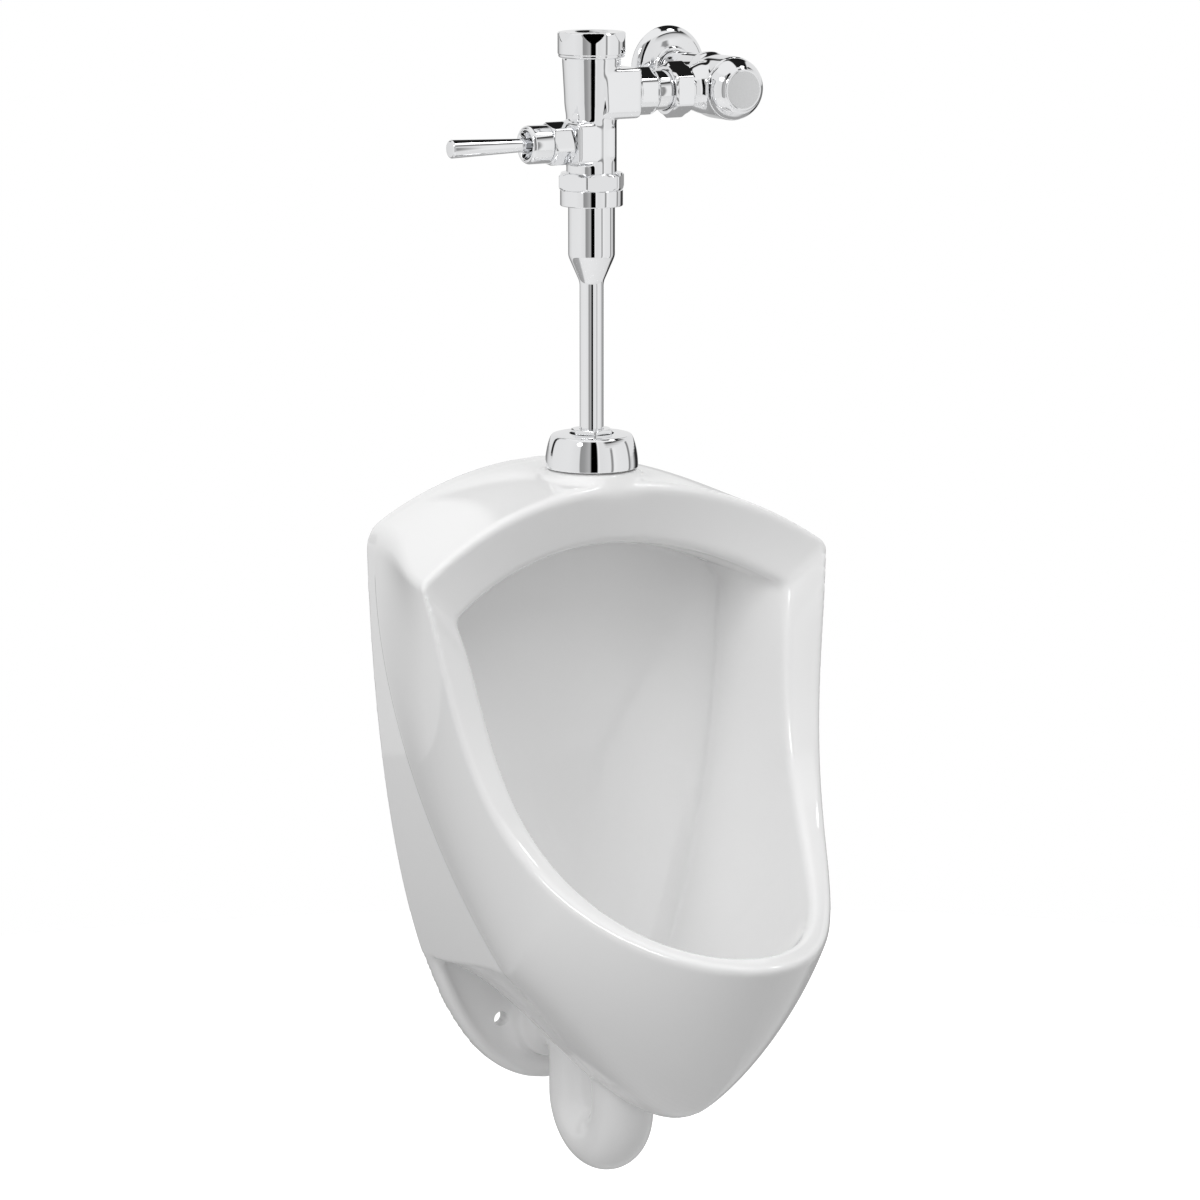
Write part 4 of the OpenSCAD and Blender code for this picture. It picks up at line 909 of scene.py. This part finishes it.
def fillets(p):
    """Strong where the trap, the plate and the pad meet the body, weak elsewhere."""
    x, f, z = np.abs(p[:, 0]), -p[:, 1], p[:, 2]

    def soft_step(v, w):
        return 1 / (1 + np.exp(-np.clip(v / w, -30, 30)))

    low = soft_step(58 - z, 2) * soft_step(z + 52, 3) * soft_step(56 - f, 5)
    legs = soft_step(34 - x, 2) * soft_step(z + 62, 3) * soft_step(-24 - z, 2) * soft_step(f - 56, 4) * 0.6
    pad = np.exp(-((np.hypot(x, f - spud_f) - esc_r - 3) / 7) ** 2) * (z > 430)
    return np.clip(low + legs + pad, 0, 1) * (f > 1.0)


def near_joints(p):
    return fillets(p) + (p[:, 2] < 64) * (-p[:, 1] < 60) + (p[:, 2] < -25)


china = relaxed(china, 3, None, 0.5)
china = relaxed(china, int(40 / china_voxel), fillets, 0.6)
china = drawn_to(china, skin_tree, near_joints, 1.4 * china_voxel)
china = relaxed(china, 1, None, 0.3)

# the trap's bore, the outlet, the spud's hole and the bolt holes
outlet_f = gasket_t + 17
bore_path = [(drain_f, z) for z in np.linspace(12, -bend_drop, 6)] + bend_path
bore_path += [(rear_f, z) for z in np.linspace(-bend_drop, -2, 6)]
cutters = [
    tube(bore_path, trap_bore_r),
    rod(trap_bore_r, outlet_f, rear_f + 14, FRONT, 0, 0, 0, seg=64),
    turned([(0, -1), (gasket_r, -1), (gasket_r, gasket_t), (outlet_r, gasket_t), (outlet_r, outlet_f + 0.5),
            (0, outlet_f + 0.5)], FRONT, 0, 0, 0, r=0, seg=64),
    rod(spud_hole_r, 0, 40, UP, 0, spud_f, seat_z - china_t - 8, seg=64),
]
bolt_hole = [(0, -1), (bolt_r, -1), (bolt_r, plate_t - 0.8), (bolt_r + 0.9, plate_t + 6), (0, plate_t + 6)]
for s in (-1, 1):
    cutters.append(turned(bolt_hole, FRONT, s * bolt_span / 2, 0, 0, r=0, seg=48))

# the hollow back, which leaves an island round each hanger
hang_x, hang_w, hang_z, hang_drop, hang_rise, island = 108, 36, 372, 56, 28, 8
hook_f, hook_plate_f = 18, 3.5
inner_x = back_w / 2 - china_t - 2
hollow_top = [(x, arch_z(x, back_top, back_arch_r - china_t)) for x in np.linspace(-inner_x, inner_x, 40)]
hollow_t1 = find_t(wall_side, shelf_z + china_t)
hollow_side = []
for i in range(25):
    t = mix(0.02, hollow_t1, i / 24)
    hollow_side.append(inset_point(t, t + 0.001, t - 0.001, china_t))
hollow = extruded(hollow_top + hollow_side + [(-x, z) for x, z in hollow_side[::-1]], -1, hollow_f)
islands = [block(s * hang_x - hang_w / 2 - island, s * hang_x + hang_w / 2 + island, -2, hollow_f + 2,
                 hang_z - hang_drop - island, hang_z + hang_rise + island) for s in (-1, 1)]
cutters.append(cut(hollow, islands))
for s in (-1, 1):
    x0, x1 = s * hang_x - hang_w / 2 - 1, s * hang_x + hang_w / 2 + 1
    cutters.append(block(x0, x1, -1, hook_f, hang_z - hang_drop, hang_z))
    cutters.append(block(x0, x1, -1, hook_f, hang_z + 8, hang_z + hang_rise))
    cutters.append(block(x0, x1, -1, hook_plate_f, hang_z - hang_drop, hang_z + hang_rise))

# the wash slots under the rim
wash_n, wash_pitch, wash_f, wash_r, wash_l, wash_h = 13, 18.7, 73, 2.2, 7, 18
for i in range(wash_n):
    x = (i - (wash_n - 1) / 2) * wash_pitch
    slot = rod(wash_r, 0, wash_h, UP, 0, 0, arch_z(x, bowl_top, mouth_r) - 4, seg=24)
    for v in slot.data.vertices:
        v.co.x += math.copysign((wash_l / 2 - wash_r) * MM, v.co.x)
    slot.data.transform(Matrix.Translation((x * MM, -wash_f * MM, 0)))
    cutters.append(slot)
piece(cut(china, cutters), "china_body", angle=50)


def valve_up(pts, z, **more):
    """A piece turned on the valve's upright axis."""
    return turned(pts, UP, 0, spud_f, z, **more)


def hex_r(across):
    """The corner radius of a hexagon from its width across flats."""
    return across / math.sqrt(3)


# Bell cover and spud nut
bell = [(esc_r, 0), (esc_r + 0.5, 9), (esc_top_r + 1, esc_h - 2), (esc_top_r - 2, esc_h)]
bell_inside = [(esc_r - esc_t, 0), (esc_r + 0.5 - esc_t, 9 - esc_t / 2),
               (esc_top_r + 1 - esc_t, esc_h - 2 - esc_t), (esc_top_r - 2 - esc_t, esc_h - esc_t)]
bell_n = 14
hole_r = hex_r(spud_nut_af) + 0.5
prof = [tuple(bezier(bell, i / bell_n)) for i in range(bell_n + 1)]
prof += [(hole_r, esc_h + 1), (hole_r, esc_h + 1 - esc_t)]
prof += [tuple(bezier(bell_inside, i / bell_n)) for i in range(bell_n, -1, -1)]
piece(valve_up(prof, seat_z, r=0.3, seg=128), "spud_escutcheon", angle=50)
spud_r = tube_r + slip_gap + spud_t
spud_top = seat_z + esc_h - 1.5
prof = [(spud_r + run_gap, 0), (spud_nut_af * 0.56, 0), (spud_nut_af * 0.59, 1), (spud_nut_af * 0.59, 17),
        (spud_nut_af * 0.52, 18), (tube_r + slip_gap, 18), (tube_r + slip_gap, 15), (spud_r + run_gap, 15)]
piece(valve_up(prof, spud_top - 12, r=0.5, seg=120, six=(spud_nut_af, 11.7, -1, 19)), "spud_coupling_nut")

# Vacuum breaker tube, with the lip that its nut holds
lip_low, lip_high = collar_z + 5, collar_z + 6.6
prof = [(tube_r - tube_t, seat_z - china_t - 3), (tube_r, seat_z - china_t - 3), (tube_r, cone_z - 3),
        (tube_r + 0.6, cone_z), (breaker_r - 1, breaker_z - 3), (breaker_r, breaker_z), (breaker_r, lip_low),
        (lower_r - 0.2, lip_low), (lower_r - 0.2, lip_high), (breaker_r - breaker_t, lip_high),
        (breaker_r - breaker_t, breaker_z), (breaker_r - 1 - breaker_t, breaker_z - 2),
        (tube_r + 0.6 - tube_t, cone_z + 1), (tube_r - tube_t, cone_z - 3)]
radii = [0.3, 0.3, 6, 6, 6, 6, 0.2, 0.2, 0.2, 0.2, 2, 2, 2, 2]
piece(valve_up(prof, 0, r=radii, steps=5), "vacuum_breaker_tube")
nut_r = hex_r(breaker_nut_af)
prof = [(breaker_r + slip_gap, collar_z), (collar_r - 0.4, collar_z), (collar_r, collar_z + 0.6),
        (collar_r, nut_z - 0.3), (collar_r - 0.7, nut_z + 0.1), (nut_r - 2.2, nut_z + 0.2),
        (nut_r + 0.3, nut_z + 2.4), (nut_r + 0.3, body_z - 2.4), (breaker_nut_af / 2 - 0.6, body_z),
        (lower_r + run_gap, body_z), (lower_r + run_gap, lip_low), (breaker_r + slip_gap, lip_low)]
piece(valve_up(prof, 0, r=0.7, seg=144, six=(breaker_nut_af, -8, nut_z, body_z + 1)), "breaker_nut")

# Valve body: turned barrel, arm and boss melted together
cast_voxel = 0.7
body_end_z = lip_high + 2.5
shoulder = [(lower_r, shoulder_z - 3), (lower_r, shoulder_z + 5), (barrel_r, barrel_z - 4),
            (barrel_r, barrel_z + 5)]
prof = [(0, body_end_z), (lower_r, body_end_z)] + [tuple(bezier(shoulder, i / 12)) for i in range(13)]
prof += [(barrel_top_r, cap_z - 1.5), (barrel_top_r - 0.5, cap_z), (barrel_top_r - 0.5, cap_z + 10),
         (0, cap_z + 10)]
valve = joined([
    soft_bar(0, arm_x - 1, 20, barrel_r + 1.1, -barrel_r + 2.6, inlet_z),
    soft_bar(-22.5, 0, 16.5, lower_r - 0.1, -lower_r + 5, handle_z, 4, 4),
    soft_bar(0, lower_r * 0.55, 14, lower_r - 0.1, 0, handle_z, 4, 4),
    valve_up(prof, 0, r=0, seg=128),
    rod(ring_r, 0, arm_x, RIGHT, 0, spud_f, inlet_z),
    rod(14, 0, 28, LEFT, 0, spud_f, handle_z),
])
valve = remeshed(valve, cast_voxel)


def valve_cast(p):
    """0 at the machined ends, 1 on the casting."""
    x, z = p[:, 0], p[:, 2]
    machined = (x > arm_x - 0.6) | (x < -23.5) | (z < body_z + 1) | (z > cap_z - 2)
    return np.where(machined, 0.0, 1.0)


valve = relaxed(valve, 3, None, 0.4)
valve = relaxed(valve, 8, valve_cast, 0.6)
valve = cut(valve, [
    valve_up([(0, body_end_z - 1), (outlet_bore_r, body_end_z - 1), (outlet_bore_r, shoulder_z + 1),
              (chamber_r, shoulder_z + 1), (chamber_r, 900), (0, 900)], 0, r=0),
    turned([(0, chamber_r - 6), (inlet_bore_r, chamber_r - 6), (inlet_bore_r, arm_x - arm_seat),
            (tail_r + run_gap, arm_x - arm_seat), (tail_r + run_gap, 60), (0, 60)],
           RIGHT, 0, spud_f, inlet_z, r=0, seg=72),
    turned([(0, outlet_bore_r - 3), (5, outlet_bore_r - 3), (5, 24), (10, 24), (10, 34), (0, 34)],
           LEFT, 0, spud_f, handle_z, r=0, seg=72),
])
# the plain raised dot on the shoulder
dot = turned([(0, 0), (3.6, 0), (3.6, 1.2), (3.2, 1.5), (0, 1.5)], UP, 0, 0, 0, r=0.2, seg=48)
dot_way = Vector((-0.925, -0.379, 0.0)).normalized()
dot_place = Vector((0, -spud_f * MM, (shoulder_z + 2) * MM)) + dot_way * (lower_r - 0.7) * MM
dot.data.transform(Matrix.Translation(dot_place) @ dot_way.to_track_quat("Z", "Y").to_matrix().to_4x4())
piece(joined([valve, dot]), "valve_body", angle=40)

# Top cap, with six sloping flats
flat_h, flat_slope, flat_turn = 7.5, 0.26, -116
flat_z = cap_h - flat_h
flat_n = int(2 * flat_h)
bore = barrel_top_r - 0.5 + run_gap
prof = [(bore, 0), (cap_r - 1.4, 0), (cap_r - 0.6, 0.8), (cap_r - 0.6, 2.4), (cap_r, 3), (cap_r, flat_z - 1)]
prof += [(cap_r, flat_z + 0.5 * k) for k in range(flat_n - 1)]
prof += [(cap_r - 0.6, cap_h - 0.2), (cap_r - 2.4, cap_h), (15, cap_h), (13.5, cap_h - 1.2),
         (0, cap_h - 1.2), (0, 13), (bore, 13)]
radii = [0.2, 0.4, 0.5, 0.4, 0.4] + [0] * flat_n + [0.3, 0.5, 0.6, 0.5, 0, 0, 0.2]
cap = valve_up(prof, cap_z, r=radii, seg=288)
for v in cap.data.vertices:
    x, y, z = v.co.x / MM, v.co.y / MM + spud_f, v.co.z / MM - cap_z
    for k in range(6):
        a = math.radians(flat_turn + 60 * k)
        reach = cap_r + 0.05 - flat_slope * max(0.0, z - flat_z)
        past = x * math.cos(a) + y * math.sin(a) - reach
        if past > 0 and z > flat_z and math.hypot(x, y) > cap_r - 3.2:
            scale = 1 - past / (past + reach)
            x, y = x * scale, y * scale
    v.co.x, v.co.y = x * MM, (y - spud_f) * MM
piece(cap, "top_cap", angle=22)


def valve_left(pts, x, **more):
    """A piece turned on the handle's axis, from x to the left."""
    return turned(pts, LEFT, x, spud_f, handle_z, **more)


# Handle
handle_nut_x = 23
nut_r = hex_r(handle_nut_af)
prof = [(14.06, 0), (nut_r - 1.8, 0), (nut_r + 0.2, 1.8), (nut_r + 0.2, 16.2), (nut_r - 1.8, 18), (13.4, 18),
        (13.4, 9), (14.06, 9)]
piece(valve_left(prof, -handle_nut_x, r=0.6, seg=120, six=(handle_nut_af, 14.5, -1, 19)), "handle_nut")
prof = [(10.4, 31), (13.9, 31), (13.9, 32), (13.3, 32), (13.3, 41), (socket_r - 0.9, 41), (socket_r, 42),
        (socket_r, socket_x - 2.2), (socket_r - 1.4, socket_x), (11.7, socket_x), (8.4, 48), (8.4, 47.9),
        (12, 47.9), (12, 42), (10.4, 42)]
radii = [0.2, 0.1, 0.1, 0.1, 0.2, 0.3, 0.5, 1, 1, 0.8, 0, 0, 0.1, 0.1, 0.1]
piece(valve_left(prof, 0, r=radii), "handle_socket")
prof = [(0, 46), (10.6, 46), (10.6, 48), (6.6, 48), (root_r, 51), (root_r, socket_x), (tip_r, tip_x - 1),
        (tip_r - 1, tip_x), (0, tip_x)]
piece(valve_left(prof, 0, r=[0, 0.3, 0.3, 0.6, 1, 6, 0.8, 0.6, 0]), "handle_lever", "lever")

# Springs: each runs between its fixed end and the plunger that it presses on
spring_x, head_x = 31.8, 43.7
piece(coil(5.6, 0.7, head_x - spring_x, 5, LEFT, -spring_x, spud_f, handle_z), "plunger_spring",
      across=("urinal", "plunger", at(-spring_x, spud_f, handle_z) * MM, at(-head_x, spud_f, handle_z) * MM))
spring_f, bonnet_f = 80.4, 96.7
piece(coil(9.2, 0.8, bonnet_f - spring_f, 4, FRONT, stop_x, spring_f, inlet_z), "stop_spring",
      across=("urinal", "stop_plunger", at(stop_x, bonnet_f, inlet_z) * MM,
              at(stop_x, spring_f, inlet_z) * MM))


def supply_right(pts, x, **more):
    """A piece turned on the supply arm's axis, from x to the right."""
    return turned(pts, RIGHT, x, spud_f, inlet_z, **more)


# Supply arm
prof = [(tail_r + run_gap, 0), (ring_r - 0.6, 0), (ring_r, 0.8), (ring_r, 2), (ring_r + 0.05, 3),
        (ring_r + 0.05, ring_l - 3), (ring_r - 0.4, ring_l - 1.6), (ring_r - 1.4, ring_l),
        (tail_r + run_gap, ring_l)]
piece(supply_right(prof, arm_x, r=0.5, seg=144, six=(ring_r * 1.84, 0, 2.6, ring_l - 2.8)), "inlet_ring")
ring_end, tail_end = arm_x + ring_l, stop_x - 24
neck_x = coupling_x + 9.5
prof = [(inlet_bore_r, arm_x - arm_seat), (tail_r, arm_x - arm_seat), (tail_r, ring_end), (neck_r, ring_end),
        (neck_r, coupling_x + 4), (tail_r, coupling_x + 4), (tail_r, tail_end), (inlet_bore_r, tail_end)]
piece(supply_right(prof, 0, r=0.3), "tailpiece")
thread_r = neck_r + 1.4
nut_r = hex_r(coupling_af)
prof = [(neck_r + slip_gap, 0), (coupling_af / 2 - 0.6, 0), (nut_r + 0.2, 2.6),
        (nut_r + 0.2, coupling_l - 2.6), (coupling_af / 2 - 0.6, coupling_l),
        (thread_r + run_gap, coupling_l), (thread_r + run_gap, 5), (neck_r + slip_gap, 5)]
nut_flats = (coupling_af, 0, -1, coupling_l + 1)
piece(supply_right(prof, coupling_x, r=0.6, seg=144, six=nut_flats), "coupling_nut")


def stop_out(pts, f, z=inlet_z, **more):
    """A piece turned on the stop's axis, or on the supply pipe's, from F to the front."""
    return turned(pts, FRONT, stop_x, f, z, **more)


# Stop body, cast in one with its neck
barrel_l = stop_front_f - stop_rear_f
stop = joined([
    stop_out([(0, 5), (20, 5), (stop_r - 1.5, 10), (stop_r, 18), (stop_r, barrel_l - 2),
              (stop_r - 0.6, barrel_l), (0, barrel_l)], stop_rear_f, r=0, seg=128),
    stop_out([(0, 0), (16, 0), (17, 1), (17.5, 12), (0, 12)], stop_rear_f, pipe_z, r=0),
    rod(neck_r, neck_x, stop_x, RIGHT, 0, spud_f, inlet_z),
    supply_right([(0, 88), (neck_r, 88), (neck_r + 5, 101), (neck_r + 5, 120), (0, 120)], 0, r=0),
])
stop = remeshed(stop, cast_voxel)


def stop_cast(p):
    """0 at the machined ends, 1 on the casting."""
    x, f = p[:, 0], -p[:, 1]
    return np.where((x < 88) | (f > stop_front_f - 2) | (f < stop_rear_f + 1), 0.0, 1.0)


stop = relaxed(stop, 3, None, 0.4)
stop = relaxed(stop, 30, stop_cast, 0.6)
stop = cut(stop, [
    rod(17, 8, 70, FRONT, stop_x, stop_rear_f, inlet_z, seg=72),
    stop_out([(0, 2.5), (9.5, 5), (9.5, 12), (0, 12)], stop_rear_f, r=0, seg=72),
    stop_out([(0, -1), (11.06, -1), (11.06, 4), (8, 4), (8, 7), (0, 7)], stop_rear_f, pipe_z, r=0, seg=72),
    supply_right([(0, neck_x - 1), (tail_r + run_gap, neck_x - 1), (tail_r + run_gap, tail_end + 1),
                  (inlet_bore_r, tail_end + 1), (inlet_bore_r, 110), (0, 110)], 0, r=0, seg=72),
])
piece(stop, "stop_body", angle=40)

# Stop cap, with a satin face
h = stop_cap_h
prof = [(18, 0), (stop_r - 0.8, 0), (stop_r - 1.2, 3), (stop_r - 3, 7), (stop_face_r + 2.4, h - 2.4),
        (stop_face_r + 0.6, h - 1.2), (stop_face_r, h - 0.4), (stop_face_r - 1.4, h), (0, h), (0, h - 2),
        (stop_face_r - 3, h - 2), (18, h - 7)]
radii = [0.2, 0.3, 1.5, 2, 1.5, 0.3, 0.3, 0.6, 0, 0, 0.3, 0.3]
cap = piece(stop_out(prof, stop_front_f, r=radii, seg=128), "stop_cap")
cap.data.materials.append(satin)
for q in cap.data.polygons:
    c = q.center / MM
    if -c.y > stop_front_f + h - 0.3 and math.hypot(c.x - stop_x, c.z - inlet_z) < stop_face_r - 1.5:
        q.material_index = 1

# Supply pipe's cover and wall flange
prof = [(cover_r - 1, 0), (cover_r, 0), (cover_r, stop_rear_f - 1), (cover_r - 1, stop_rear_f - 1)]
piece(stop_out(prof, 1, pipe_z, r=0.2), "cover_tube")
h, r = flange_h, flange_r
prof = [(cover_r + slip_gap, 0), (r, 0), (r, 1.2), (r - 1.6, 4.4), (r - 5, 7.2), (r - 11, 9),
        (cover_r + 3, h - 2), (cover_r + 2.4, h), (cover_r + slip_gap, h)]
piece(stop_out(prof, 0, pipe_z, r=[0.2, 0.3, 0.6, 1.5, 2.5, 2, 0.8, 0.5, 0.3], seg=128), "wall_flange")
